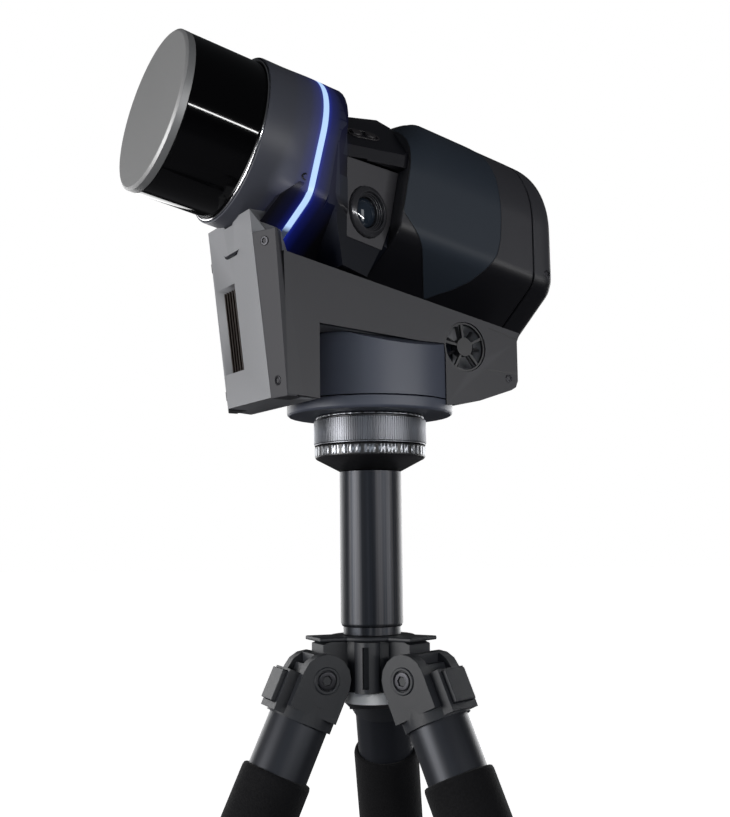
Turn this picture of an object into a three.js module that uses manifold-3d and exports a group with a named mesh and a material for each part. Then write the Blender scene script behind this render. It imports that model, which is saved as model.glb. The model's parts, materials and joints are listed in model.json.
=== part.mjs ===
// Terrestrial laser scanner on a quick-release post and a short tripod.
// Units are millimetres, +Z is up. The scanner head is built about its own vertical turning
// axis, with x towards the back and z = 0 at the underside of the base flange. The sensor
// drum has a second axis, tilted up at the front: u runs back along it, v is up across it.
import * as THREE from 'three';
import { mergeVertices } from 'three/addons/utils/BufferGeometryUtils.js';
import Module from 'manifold-3d';

const wasm = await Module();
wasm.setup();

// ---- clearances
const gap = 0.3; // between pieces that touch
const runGap = 0.8; // between pieces that turn or slide past each other

// ---- facets round a full turn
const drumFacets = 36;
const axisFacets = 28;
const legFacets = 20;
const smallFacets = 14;

// ---- sensor drum
const drumTilt = THREE.MathUtils.degToRad(11);
const drumR = 46.3;
const capThick = 5.4;
const windowWall = 2.4;
const drumLength = 49.9; // from the cap's face to the trim ring
const trimLip = 1.7; // the trim ring stands this far proud of the drum
const trimR = drumR + trimLip;
const trimWidth = 2.6;
const rotorInset = 8.3;
const rotorR = drumR - rotorInset;
const shaftR = 5;

// ---- head shell: half-round top, straight sides, slanted belly
const collarLip = 1.4; // the collar stands this far proud of the trim ring
const collarR = trimR + collarLip;
const shellStep = 0.6;
const shellR = collarR + shellStep;
const sideDrop = 37; // the sides run down to this far below the drum's axis
const bellySlope = THREE.MathUtils.degToRad(34.5);
const keelHalf = 6.35; // half the width of the flat underside
const keelDrop = sideDrop + (shellR - keelHalf) * Math.tan(bellySlope);
const shellWall = 3;
const noseLength = 32; // trim ring to light ring
const bellyGap = 2; // between the head's underside and the base block
const baseTopDrop = keelDrop + bellyGap; // top of the base block, below the drum's axis
const baseFrontTop = 93.81; // height of the base block's sloping top, carried on to the drum's face
const drumFrontX = -139.7;
const drumFrontZ = baseFrontTop + baseTopDrop / Math.cos(drumTilt);
const drumFront = new THREE.Vector3(drumFrontX, 0, drumFrontZ); // centre of the cap's face
const lightWidth = 3.4;
const lightDepth = 3.2;
const collarRear = 96.5; // u where the collar steps down to the camera bay
const ringLean = 0.042; // the ring and the collar's back edge lean forward towards the bottom
const bayLength = 44;
const bayRear = collarRear + bayLength; // u of the cheek panels' front edge
const rearSeamX = 88.5;
const rearX = 105;

// ---- camera bay
const bayTopZ = drumFrontZ + 10.4;
const bayTopHalf = 19;
const ledgeTopZ = drumFrontZ - 17.1;
const ledgeBottomZ = drumFrontZ - 24.6;
const ledgeHalf = shellR - 2.5;
const cameraTurn = THREE.MathUtils.degToRad(15); // the cameras look slightly back
// the camera's plane starts here at the collar and runs inwards towards the back
const cameraPlaneY = shellR;
const cameraPanelThick = 3;
const cameraU = collarRear + bayLength / 2 + 2.6;
const cameraV = -30.7;
const barrelR = 14.6;
// the plate round the camera, as corners across and up from its centre
const cameraPanelCorners = [
  [-barrelR - 7.4, barrelR + 10.4], [bayLength / 2 + 5.7, barrelR + 22.2],
  [barrelR + 1.4, -barrelR - 2.4], [-barrelR + 2.1, -barrelR - 4.9],
];
const moduleFrontU = [collarRear + 0.5, collarRear + 13]; // front edge at the crease and at the keel
const moduleRearU = [bayRear - 1.5, bayRear - 12];
const barrelDepth = 9;
const barrelProud = 3.2;
const lensR = 8.6;
const buttonR = 3.6;
const buttonTravel = 1;
const buttonProud = 1.6;
const buttonUs = [collarRear + 17, collarRear + 26.5];
const buttonBore = 5;
const cheekThick = 2.6;
const cheekRear = 210;
const cheekFoot = [180, -62]; // its lowest point, in u and v
const boardThick = 2.4;
const rearEdge = 5; // rounding of the head's back edge

// ---- base block
const turretR = 49.5;
const plateHalf = turretR - 6.5; // the base block straddles the turret
const plateThick = 3.7;
const columnHalf = 28;
const columnFootX = -79.4;
const columnLean = 0.1275; // the front face leans forward this much for each mm up
const columnTopZ = drumFrontZ - collarR - 7.7;
const facetFootBack = 2; // how far the near corner facet falls back at the foot
const facetSpread = 0.047; // and how much further for each mm up
const farFacetBack = 7; // the far one falls back evenly
const baseFootZ = 3.6;
const tabTopZ = 94.2;
const baseRearX = 80;
const baseRearFootZ = 16.5;
const baseUnderX = [26, 50]; // the underside rises towards the back at these places
const baseUnderZ = [3.7, 7.7];
const archFrontX = -57.8;
const archFrontZ = 44.4;
const archRearZ = 39.2;
const archRearX = 24;
const ventNearY = 0.8; // the vent is in the far half of the front face
const ventFarY = 25.2;
const ventLowZ = 22.8;
const ventHighZ = 71.8;
const ventDepth = 12;
const finCount = 7;
const fanX = 40.3;
const fanR = 14.6;
const fanZ = baseFrontTop - (fanX - drumFrontX) * Math.tan(drumTilt) - fanR - 5;
const fanHubR = 5.6;
const fanDepth = 8;
const spokeCount = 5;
const spokeWidth = 1.5;
const spokeTurn = 0.45;
const bladeCount = 7;
const bladePitch = 0.6;

// ---- turntable, adapter and post (z below the flange is negative)
const turretWall = 4;
const turretTopZ = 48;
const turretEaveZ = 36.5; // the drum's top slopes down to this height at each side
const seamZ = 7.4;
const flangeBore = 12;
const bearingR = turretR - 11.5;
const bearingBore = bearingR - 8;
const bearingHeight = 9;
const motorR = bearingBore - 4;
const motorHeight = 20;
const ringR = 33.2;
const ringTopZ = -1.5;
const ringBottomZ = -17.9;
const ringTeeth = 24;
const spigotR = 25.5;
const bandR = ringR - 0.2;
const bandTopR = ringR - 1.2;
const bandBottomZ = -25.4;
const postR = 18.35;
const postTopZ = -33;
const postBottomZ = -123;
const neckR = postR - 1.5;
const plateTopZ = -128;

// ---- tripod
const apexTopZ = -130.6;
const apexBottomZ = -158.8;
const apexR = 22;
const hingeZ = -151;
const hingeR = 35;
const lobeR = hingeR + 2;
const lobeHalf = 13;
const lugHalf = 10;
const lugR = 12;
const ribR = 7.4;
const ribAt = 21.5;
const ribSlot = 3.6;
const ribSlotHeight = 23;
const knobR = 17;
const knobBottomZ = -169;
const legSpread = THREE.MathUtils.degToRad(24.3);
const legLength = 600; // hinge to the centre of the rounded foot
const tubeR = 17.3;
const tubeWall = 1.6;
const cheekR = 14.5;
const cheekOuter = lugHalf + 8.5;
const shoulderR = tubeR + 1.9;
const shoulderEnd = 26;
const tubeStart = 16;
const tubeDepth = 4; // how far the tube's end stands back in its shoulder
const tubeEnd = legLength - 88;
const foamStart = 56;
const foamEnd = 292;
const foamR = tubeR + 2.9;
const tabHalf = 9.5;
const tabLow = -21;
const tabHigh = -3;
const tabThick = 5.4;
const tabRise = 1.2; // the tab's grip stands this far proud of its housing
const housingRise = 1.4; // and its housing this far proud of the shoulder
const lockStart = tubeEnd - 6;
const lockEnd = tubeEnd + 40;
const lockR = tubeR + 4;
const lowerR = tubeR - tubeWall - 1.3;
const lowerWall = 1.5;
const lowerTop = 70;
const footR = lowerR + 0.6;
const footCup = 2.6; // wall of the foot's cup
const footFlat = 1; // how much of the rounded foot is worn flat by the floor
const footLength = 26;

const headYaw = THREE.MathUtils.degToRad(39.4);
const legAzimuths = { rear: 90, left: 210, right: 330 };

// ---- finishes
const finish = (color, roughness, metalness = 0) =>
  new THREE.MeshStandardMaterial({ color, roughness, metalness });
const shellFinish = finish(0x3a3b3f, 0.55, 0.3);
const cheekFinish = finish(0x28303a, 0.5);
const coverFinish = finish(0x6f7276, 0.5, 0.3);
const glossBlack = finish(0x060607, 0.08);
const silver = finish(0xb4b6b8, 0.35, 0.9);
const lightFinish = finish(0xb9d7ff, 0.3);
const glassFinish = finish(0x11131a, 0.05);
const darkPlastic = finish(0x17181a, 0.6);
const anodised = finish(0x3c4046, 0.25, 0.8);
const steel = finish(0x9a9c9e, 0.3, 0.9);
const casting = finish(0x3a3b3d, 0.6, 0.3);
const foamFinish = finish(0x161619, 0.95);
const rubberFinish = finish(0x1b1b1c, 0.9);
const boardFinish = finish(0x1c5a35, 0.6);

// ---- solids and geometry
function toSolid(geometry) {
  const bare = geometry.clone();
  bare.deleteAttribute('normal');
  bare.deleteAttribute('uv');
  const merged = mergeVertices(bare, 1e-4);
  return new wasm.Manifold(new wasm.Mesh({
    numProp: 3,
    vertProperties: new Float32Array(merged.attributes.position.array),
    triVerts: new Uint32Array(merged.index.array),
  }));
}

function toGeometry(solid) {
  const { vertProperties, triVerts } = solid.getMesh();
  const geometry = new THREE.BufferGeometry();
  geometry.setAttribute('position', new THREE.BufferAttribute(vertProperties, 3));
  geometry.setIndex(new THREE.BufferAttribute(triVerts, 1));
  return geometry;
}

// Turns every face of a closed geometry outwards.
function outward(geometry) {
  const p = geometry.attributes.position;
  const index = geometry.index ? [...geometry.index.array] : [...Array(p.count).keys()];
  const [a, b, c] = [new THREE.Vector3(), new THREE.Vector3(), new THREE.Vector3()];
  let volume = 0;
  for (let i = 0; i < index.length; i += 3) {
    a.fromBufferAttribute(p, index[i]);
    b.fromBufferAttribute(p, index[i + 1]);
    c.fromBufferAttribute(p, index[i + 2]);
    volume += a.dot(b.cross(c));
  }
  if (volume < 0) {
    for (let i = 0; i < index.length; i += 3) {
      [index[i], index[i + 1]] = [index[i + 1], index[i]];
    }
  }
  geometry.setIndex(index);
  return geometry;
}

// Revolves an outline of [radius, height] points about the z axis.
function turned(outline, segments = axisFacets) {
  const points = outline.map(([r, z]) => new THREE.Vector2(r, z));
  return outward(new THREE.LatheGeometry(points, segments).rotateX(Math.PI / 2));
}

// A ring with a square section, from z0 up to z1.
function ring(rIn, rOut, z0, z1, segments = axisFacets) {
  return turned([[rIn, z0], [rOut, z0], [rOut, z1], [rIn, z1], [rIn, z0]], segments);
}

// A solid rod about the z axis.
function rod(r, z0, z1, segments = axisFacets) {
  return turned([[0, z0], [r, z0], [r, z1], [0, z1]], segments);
}

// Extrudes an outline of [x, z] points across y, from y0 to y1.
function acrossY(outline, y0, y1) {
  const shape = new THREE.Shape(outline.map(([x, z]) => new THREE.Vector2(x, z)));
  const geometry = new THREE.ExtrudeGeometry(shape, { depth: y1 - y0, bevelEnabled: false });
  return outward(geometry.rotateX(Math.PI / 2).translate(0, y1, 0));
}

// Extrudes an outline of [y, z] points along x, from x0 to x1.
function alongX(outline, x0, x1) {
  const shape = new THREE.Shape(outline.map(([y, z]) => new THREE.Vector2(y, z)));
  const geometry = new THREE.ExtrudeGeometry(shape, { depth: x1 - x0, bevelEnabled: false });
  const turn = new THREE.Matrix4().makeBasis(
    new THREE.Vector3(0, 1, 0),
    new THREE.Vector3(0, 0, 1),
    new THREE.Vector3(1, 0, 0),
  );
  return outward(geometry.applyMatrix4(turn).translate(x0, 0, 0));
}

function block(x0, x1, y0, y1, z0, z1) {
  const geometry = new THREE.BoxGeometry(x1 - x0, y1 - y0, z1 - z0);
  return geometry.translate((x0 + x1) / 2, (y0 + y1) / 2, (z0 + z1) / 2);
}

// Joins rings of equal point count into one closed body.
function loft(rings) {
  const count = rings[0].length;
  const positions = rings.flat().flatMap((p) => [p.x, p.y, p.z]);
  const index = [];
  for (let k = 0; k + 1 < rings.length; k += 1) {
    for (let i = 0; i < count; i += 1) {
      const j = (i + 1) % count;
      const [a, b, c, d] = [k * count + i, k * count + j, (k + 1) * count + j, (k + 1) * count + i];
      index.push(a, b, c, a, c, d);
    }
  }
  const last = (rings.length - 1) * count;
  for (let i = 1; i + 1 < count; i += 1) {
    index.push(0, i + 1, i, last, last + i, last + i + 1);
  }
  const geometry = new THREE.BufferGeometry();
  geometry.setAttribute('position', new THREE.Float32BufferAttribute(positions, 3));
  geometry.setIndex(index);
  return outward(geometry);
}

const join = (...parts) => parts.map(toSolid).reduce((whole, part) => whole.add(part));
const cut = (solid, ...parts) => parts.reduce((whole, part) => whole.subtract(toSolid(part)), solid);

// ---- frame of the drum's axis, in the head's own frame
const drumMatrix = new THREE.Matrix4().makeRotationY(drumTilt).setPosition(drumFront);
const tilted = (geometry) => outward(geometry.applyMatrix4(drumMatrix));
// A revolved or bar-like piece about the drum's axis: z of its outline becomes u.
const aboutDrum = (geometry) => tilted(geometry.rotateY(Math.PI / 2));
const headPoint = (u, y, v) => new THREE.Vector3(u, y, v).applyMatrix4(drumMatrix);

// Distance from the drum's axis to the shell's surface, at an angle from straight up.
// The shell is a half round above, with flat sides, slanted belly and keel below.
function shellReach(angle, grow) {
  const side = Math.abs(Math.sin(angle));
  const down = -Math.cos(angle);
  if (down <= 0) return shellR + grow;
  const belly = shellR * Math.sin(bellySlope) + sideDrop * Math.cos(bellySlope) + grow;
  const slant = side * Math.sin(bellySlope) + down * Math.cos(bellySlope);
  return Math.min((shellR + grow) / side, belly / slant, (keelDrop + grow) / down);
}

// The angles round the section: even steps over the top, and each corner below.
function sectionAngles() {
  const bellyAtKeel = shellR - (keelDrop - sideDrop) / Math.tan(bellySlope);
  const corners = [
    Math.atan2(bellyAtKeel, -keelDrop),
    Math.atan2(shellR, -sideDrop),
    Math.atan2(shellR, -sideDrop / 2),
  ];
  const angles = [];
  const steps = 22;
  for (let i = 0; i <= steps; i += 1) angles.push(-Math.PI / 2 + (Math.PI * i) / steps);
  const lower = [...corners].reverse();
  return [...angles, ...lower, ...corners.map((a) => 2 * Math.PI - a)];
}

// One ring of the head's section at u. blend 0 is the round collar, 1 the full shell.
function sectionRing(u, blend = 1, grow = 0, lean = 0) {
  return sectionAngles().map((angle) => {
    const r = THREE.MathUtils.lerp(collarR + grow, shellReach(angle, grow), blend);
    const v = r * Math.cos(angle);
    return new THREE.Vector3(u + lean * v, r * Math.sin(angle), v);
  });
}

const shellBar = (u0, u1, grow = 0, lean0 = 0, lean1 = 0) =>
  tilted(loft([sectionRing(u0, 1, grow, lean0), sectionRing(u1, 1, grow, lean1)]));

// ---- places along the drum's axis
const noseStart = drumLength - trimWidth / 2;
const trimEnd = noseStart - 1 + trimWidth;
const lightStart = noseStart + noseLength + gap;
const shellStart = lightStart + lightWidth + gap;

// The nose grows from the round trim ring to the shell's full section.
function noseLoft(grow) {
  const u0 = noseStart - grow;
  const u1 = lightStart - gap + grow;
  const blends = [[0, 0], [0.28, 0], [0.5, 0.35], [0.72, 0.8], [0.88, 1], [1, 1]];
  const ringAt = ([t, b]) => sectionRing(THREE.MathUtils.lerp(u0, u1, t), b, grow, ringLean * t);
  return tilted(loft(blends.map(ringAt)));
}

// ---- sensor drum pieces
function lidarCap() {
  const edge = 1.1;
  const outline = [
    [0, 0], [drumR - edge - 1.6, 0], [drumR - edge, 0.7], [drumR + 0.2, edge + 0.7],
    [drumR + 0.2, capThick], [0, capThick],
  ];
  return aboutDrum(turned(outline, drumFacets));
}

const lidarWindow = () =>
  aboutDrum(ring(drumR - windowWall, drumR, capThick + gap, drumLength + 4, drumFacets));

function lidarTrimRing() {
  const u0 = trimEnd - trimWidth;
  const u1 = trimEnd;
  const rIn = drumR + gap;
  const edge = 0.6;
  const outline = [
    [rIn, u0 + edge], [trimR - edge, u0], [trimR, u0 + edge], [trimR, u1], [rIn, u1], [rIn, u0 + edge],
  ];
  return aboutDrum(turned(outline, drumFacets));
}

// Spinning block of emitters and receivers, with two flat optical faces.
function lidarRotor() {
  const u0 = capThick + 5;
  const u1 = drumLength - 6;
  const body = toSolid(ring(shaftR + runGap, rotorR, u0, u1, legFacets));
  const opticFlat = 24;
  const faces = [-1, 1].map((side) =>
    block(...(side < 0 ? [-rotorR - 1, -opticFlat] : [opticFlat, rotorR + 1]), -20, 20, u0 + 4, u1 - 4));
  return aboutDrum(toGeometry(cut(body, ...faces)));
}

// Fixed base of the drum with the shaft that the rotor turns on.
function lidarBase() {
  const seat = drumR - windowWall - gap;
  const outline = [
    [0, capThick + gap + 1], [shaftR, capThick + gap + 1], [shaftR, drumLength - 4],
    [seat, drumLength - 4], [seat, drumLength + 9], [0, drumLength + 9],
  ];
  return aboutDrum(turned(outline, drumFacets));
}

function noseHousing() {
  const bore = aboutDrum(rod(drumR + gap, noseStart - 1, drumLength + 4 + gap, drumFacets));
  const trimSeat = aboutDrum(rod(trimR + gap, noseStart - 1, trimEnd + gap, drumFacets));
  const cavity = aboutDrum(rod(drumR - windowWall, drumLength, lightStart + 6, drumFacets));
  return toGeometry(cut(toSolid(noseLoft(0)), bore, trimSeat, cavity));
}

function lightRing() {
  const outer = toSolid(shellBar(lightStart, lightStart + lightWidth, 0, ringLean, ringLean));
  const inner = shellBar(lightStart - 2, lightStart + lightWidth + 2, -lightDepth, ringLean, ringLean);
  return toGeometry(cut(outer, inner));
}

// ---- main shell
const rearBlock = (x0, x1) => block(x0, x1, -90, 90, -20, 260);

// What the camera bay takes away on one side: above the slanted shoulders and, below the
// ledge, everything outside the plane that the camera looks out of.
function bayCutter(side, grow = 0) {
  const shoulder = alongX([
    [0, bayTopZ], [side * bayTopHalf, bayTopZ], [side * ledgeHalf, ledgeTopZ],
    [side * ledgeHalf, ledgeBottomZ], [side * 90, ledgeBottomZ], [side * 90, 240], [0, 240],
  ], -120, 60);
  const slab = tilted(loft([
    sectionRing(collarRear + gap, 1, 25, ringLean),
    sectionRing(bayRear - gap, 1, 25, 0),
  ]));
  return toSolid(shoulder).add(toSolid(cameraWedge(side, grow))).intersect(toSolid(slab));
}

// The space outside the camera's plane, in the drum frame, up to the ledge.
function cameraWedge(side, grow = 0) {
  const u0 = collarRear - 12;
  const u1 = bayRear + 12;
  const yAt = (u) => cameraPlaneY - grow - (u - collarRear) * Math.tan(cameraTurn);
  const corner = (u, y, v) => new THREE.Vector3(u, side * y, v);
  const outer = shellR + 20;
  const ringAt = (u) => [
    corner(u, yAt(u), -keelDrop - 5), corner(u, outer, -keelDrop - 5),
    corner(u, outer, 20), corner(u, yAt(u), 20),
  ];
  const below = block(-140, 80, -90, 90, 0, ledgeBottomZ - grow);
  return toGeometry(toSolid(tilted(loft([ringAt(u0), ringAt(u1)]))).intersect(toSolid(below)));
}

// Outline of the cheek panel in the side view, as [u, v] points. The cut for it runs on
// into the camera bay by lead.
function cheekOutline(grow, lead) {
  const shape = new THREE.Shape();
  const top = 46 + grow;
  const slantTop = -24 - grow * 0.4;
  const back = cheekRear + grow;
  const [footU, footV] = cheekFoot;
  shape.moveTo(bayRear - lead, top);
  shape.lineTo(bayRear - lead, slantTop);
  shape.lineTo(bayRear - grow, slantTop);
  shape.lineTo(footU - grow, footV - grow);
  shape.bezierCurveTo(back - 10, footV + 8 - grow, back, footV + 28 - grow, back, -14);
  shape.bezierCurveTo(back, 18, back - 10, top - 6, back - 32, top);
  return shape.getPoints(7).map((p) => [p.x, p.y]);
}

const cheekPrism = (side, grow = 0, lead = 0) =>
  tilted(acrossY(cheekOutline(grow, lead), ...(side < 0 ? [-80, -6] : [6, 80])));

function cheekPanel(side) {
  const outer = toSolid(shellBar(bayRear - 3, cheekRear + 4, 0));
  const inner = shellBar(bayRear - 6, cheekRear + 8, -cheekThick);
  return toGeometry(cut(outer, inner).intersect(toSolid(cheekPrism(side))));
}

// Frame of the camera on one side: x across the panel, y up, z out along its line of sight.
function cameraMatrix(side) {
  const y = side * (cameraPlaneY - (cameraU - collarRear) * Math.tan(cameraTurn));
  const out = new THREE.Vector3(Math.sin(cameraTurn), side * Math.cos(cameraTurn), 0);
  const up = new THREE.Vector3(0, 0, 1);
  const acrossPanel = new THREE.Vector3().crossVectors(up, out);
  const local = new THREE.Matrix4().makeBasis(acrossPanel, up, out);
  return drumMatrix.clone().multiply(local.setPosition(cameraU, y, cameraV));
}

// Block under each camera, from the crease down to the keel.
function cameraModule(side) {
  const ringAt = (v, [front, rear]) => [
    [front, 12], [front, shellR + 4], [rear, shellR + 4], [rear, 12],
  ].map(([u, y]) => new THREE.Vector3(u, side * y, v));
  const [frontTop, frontLow] = moduleFrontU;
  const [rearTop, rearLow] = moduleRearU;
  const block = tilted(loft([
    ringAt(-sideDrop + 15, [frontTop, rearTop]), ringAt(-sideDrop, [frontTop, rearTop]),
    ringAt(-keelDrop, [frontLow, rearLow]),
  ]));
  return toSolid(block).subtract(toSolid(cameraWedge(side)));
}

function mainShell() {
  const sleeve = toSolid(shellBar(shellStart, 270, 0, ringLean, 0));
  const bar = sleeve.add(cameraModule(-1)).add(cameraModule(1));
  const body = bar.intersect(toSolid(rearBlock(-90, rearSeamX)));
  const hollow = toSolid(shellBar(bayRear + 4, 275, -shellWall - cheekThick));
  let shell = body.subtract(hollow);
  const skinOuter = toSolid(shellBar(bayRear - 6, cheekRear + 10, 5));
  const cheekSkin = cut(skinOuter, shellBar(bayRear - 9, cheekRear + 14, -cheekThick - gap));
  for (const side of [-1, 1]) {
    shell = shell.subtract(bayCutter(side));
    shell = shell.subtract(cheekSkin.intersect(toSolid(cheekPrism(side, gap, 3))));
    shell = shell.subtract(toSolid(cameraPanelGeometry(side, gap, 2)));
    const bore = rod(barrelR + gap, -barrelDepth - gap, 20, legFacets).applyMatrix4(cameraMatrix(side));
    shell = shell.subtract(toSolid(outward(bore)));
  }
  const passage = tilted(new THREE.BoxGeometry(80, 30, 30).translate(bayRear - 35, 0, -6));
  shell = shell.subtract(toSolid(passage));
  for (const u of buttonUs) shell = shell.subtract(toSolid(buttonHole(u)));
  return toGeometry(shell);
}

// The plate that carries the camera, under the ledge.
function cameraPanelGeometry(side, grow = 0, proud = 0) {
  const outline = cameraPanelCorners.map(([x, y]) => [x + Math.sign(x) * grow, y + Math.sign(y) * grow]);
  const shape = new THREE.Shape(outline.map(([x, y]) => new THREE.Vector2(x * -side, y)));
  const depth = cameraPanelThick + grow + proud;
  const geometry = new THREE.ExtrudeGeometry(shape, { depth, bevelEnabled: false });
  geometry.translate(0, 0, -cameraPanelThick - grow);
  return outward(geometry.applyMatrix4(cameraMatrix(side)));
}

function cameraPanel(side) {
  const hole = outward(rod(barrelR + gap, -20, 20, legFacets).applyMatrix4(cameraMatrix(side)));
  const slab = toSolid(block(-140, 80, -90, 90, 0, ledgeBottomZ - gap));
  const inBay = toSolid(tilted(loft([
    sectionRing(collarRear + 2 * gap, 1, 25, ringLean),
    sectionRing(bayRear - 2 * gap, 1, 25, 0),
  ])));
  const panel = toSolid(cameraPanelGeometry(side)).intersect(slab).intersect(inBay);
  return toGeometry(cut(panel, hole));
}

function cameraBarrel(side) {
  const seat = lensR + 2.2;
  const outline = [
    [0, -barrelDepth], [barrelR, -barrelDepth], [barrelR, barrelProud - 2], [barrelR - 1.6, barrelProud],
    [seat + 1.4, barrelProud], [seat, barrelProud - 3], [lensR + gap, barrelProud - 4.5],
    [lensR + gap, -barrelDepth + 3], [0, -barrelDepth + 3],
  ];
  return outward(turned(outline, legFacets).applyMatrix4(cameraMatrix(side)));
}

function cameraLens(side) {
  const base = -barrelDepth + 3 + gap;
  const outline = [[0, base], [lensR, base], [lensR, barrelProud - 5.5]];
  const domeRise = 3.2;
  for (let i = 1; i <= 3; i += 1) {
    const t = (i * Math.PI) / 6;
    outline.push([lensR * Math.cos(t), barrelProud - 5.5 + domeRise * Math.sin(t)]);
  }
  return outward(turned(outline, smallFacets).applyMatrix4(cameraMatrix(side)));
}

// Buttons sit on the near shoulder of the camera bay and press straight into it.
function shoulderMatrix(u) {
  const slope = Math.atan2(bayTopZ - ledgeTopZ, ledgeHalf - bayTopHalf);
  const y = -(bayTopHalf + ledgeHalf) / 2 - 1;
  const z = bayTopZ - (Math.abs(y) - bayTopHalf) * Math.tan(slope);
  const out = new THREE.Vector3(0, -Math.sin(slope), Math.cos(slope));
  const along = new THREE.Vector3(1, 0, 0);
  const across = new THREE.Vector3().crossVectors(out, along);
  const x = headPoint(u, 0, 0).x;
  return new THREE.Matrix4().makeBasis(along, across, out).setPosition(x, y, z);
}

const buttonHole = (u) =>
  outward(rod(buttonR + gap, -buttonBore, 10, smallFacets).applyMatrix4(shoulderMatrix(u)));

function button(u) {
  const base = -buttonBore + gap + buttonTravel + gap;
  const outline = [
    [0, base], [buttonR, base], [buttonR, buttonProud - 0.6], [buttonR - 0.6, buttonProud], [0, buttonProud],
  ];
  return outward(turned(outline, smallFacets).applyMatrix4(shoulderMatrix(u)));
}

// Rear cap: the same section, closed at the back, with a softened back edge.
function rearCap() {
  const slice = (grow, x0, x1) => toSolid(shellBar(190, 320, grow)).intersect(toSolid(rearBlock(x0, x1)));
  const step = rearX - rearEdge * 0.4;
  const whole = slice(0, rearSeamX + gap, rearX - rearEdge);
  const waist = slice(-rearEdge * 0.3, rearX - rearEdge, step);
  const end = slice(-rearEdge, step, rearX);
  const hollow = slice(-shellWall - rearEdge, rearSeamX - 5, rearX - shellWall - 2);
  return toGeometry(whole.add(waist).add(end).subtract(hollow));
}

const mainBoard = () => tilted(block(154, 206, -30, 30, 12, 12 + boardThick));
const batteryPack = () => tilted(block(158, 214, -27, 27, -34, 4));

// ---- base block
const columnFace = (z) => columnFootX - columnLean * z;
// Height of the base block's sloping top at x.
const baseTop = (x) => baseFrontTop - (x - drumFrontX) * Math.tan(drumTilt);
// How far a corner facet falls back from the front face where it meets its side plate.
const facetFall = (side, z) => (side < 0 ? facetFootBack + facetSpread * z : farFacetBack);
// The underside, from the front to the back.
const baseUnder = () => [
  [archFrontX + 1, baseFootZ - 0.8], [baseUnderX[0], baseUnderZ[0]], [baseUnderX[1], baseUnderZ[1]],
];

const baseRearEdge = () => [
  [baseRearX + 1.6, baseTop(baseRearX + 1.6)],
  [baseRearX - 0.8, baseTop(baseRearX) - 5.5],
  [baseRearX - 0.8, baseRearFootZ + 5],
  [baseRearX - 2.4, baseRearFootZ + 1],
  [baseRearX - 6, baseRearFootZ - 1],
];

// The arch over the turret, open to both sides.
function archCutter() {
  const bottom = -20;
  const arch = acrossY([
    [archFrontX, bottom], [archRearX, bottom], [archRearX, archRearZ], [archFrontX, archFrontZ],
  ], -60, 60);
  const well = rod(turretR + runGap, bottom, archRearZ + 0.5, drumFacets);
  return toSolid(arch).add(toSolid(well)).add(turretSolid(runGap));
}

// The turret's outside: a drum whose top slopes down to both sides.
function turretSolid(grow) {
  const drum = toSolid(rod(turretR + grow, seamZ + gap - grow, turretTopZ + grow, drumFacets));
  const half = turretR + 5;
  const ridge = 22;
  const roof = alongX([
    [-half, -5], [half, -5], [half, turretEaveZ + grow - 2], [ridge, turretTopZ + grow],
    [-ridge, turretTopZ + grow], [-half, turretEaveZ + grow - 2],
  ], -60, 60);
  return drum.intersect(toSolid(roof));
}

const ventCutter = (grow, depth) => {
  const lowX = columnFace(ventLowZ);
  const highX = columnFace(ventHighZ);
  return acrossY([
    [lowX - 5, ventLowZ - grow], [lowX + depth, ventLowZ - grow],
    [highX + depth, ventHighZ + grow], [highX - 5, ventHighZ + grow],
  ], ventNearY - grow, ventFarY + grow);
};

function baseFrame() {
  const inner = plateHalf - plateThick - gap;
  const ribBack = archFrontX - 10;
  const outline = [
    [columnFace(baseFootZ), baseFootZ], ...baseUnder(), ...baseRearEdge().reverse(),
    [ribBack, baseTop(ribBack)],
    [columnFace(columnTopZ) + 16, columnTopZ], [columnFace(columnTopZ), columnTopZ],
  ];
  let frame = toSolid(acrossY(outline, -inner, inner));
  const sideTrim = (side) => {
    const ys = side < 0 ? [-90, -columnHalf] : [columnHalf, 90];
    return toSolid(block(-130, ribBack + gap, ...ys, -10, 200));
  };
  frame = frame.subtract(sideTrim(-1)).subtract(sideTrim(1));
  frame = frame.subtract(archCutter());
  frame = frame.subtract(toSolid(noseLoft(gap)));
  frame = frame.subtract(toSolid(shellBar(lightStart - 6, 280, gap)));
  frame = frame.subtract(toSolid(ventCutter(0, ventDepth)));
  for (const side of [-1, 1]) frame = frame.subtract(toSolid(fanPocket(side)));
  return toGeometry(frame);
}

// Fan pockets are bored into both sides of the base block.
function fanPocket(side, grow = gap) {
  const depth = fanDepth + gap;
  const start = plateHalf - plateThick - gap;
  const hole = rod(fanR + grow, -depth, 10, legFacets);
  return outward(hole.rotateX(side < 0 ? Math.PI / 2 : -Math.PI / 2).translate(fanX, side * start, fanZ));
}

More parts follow.
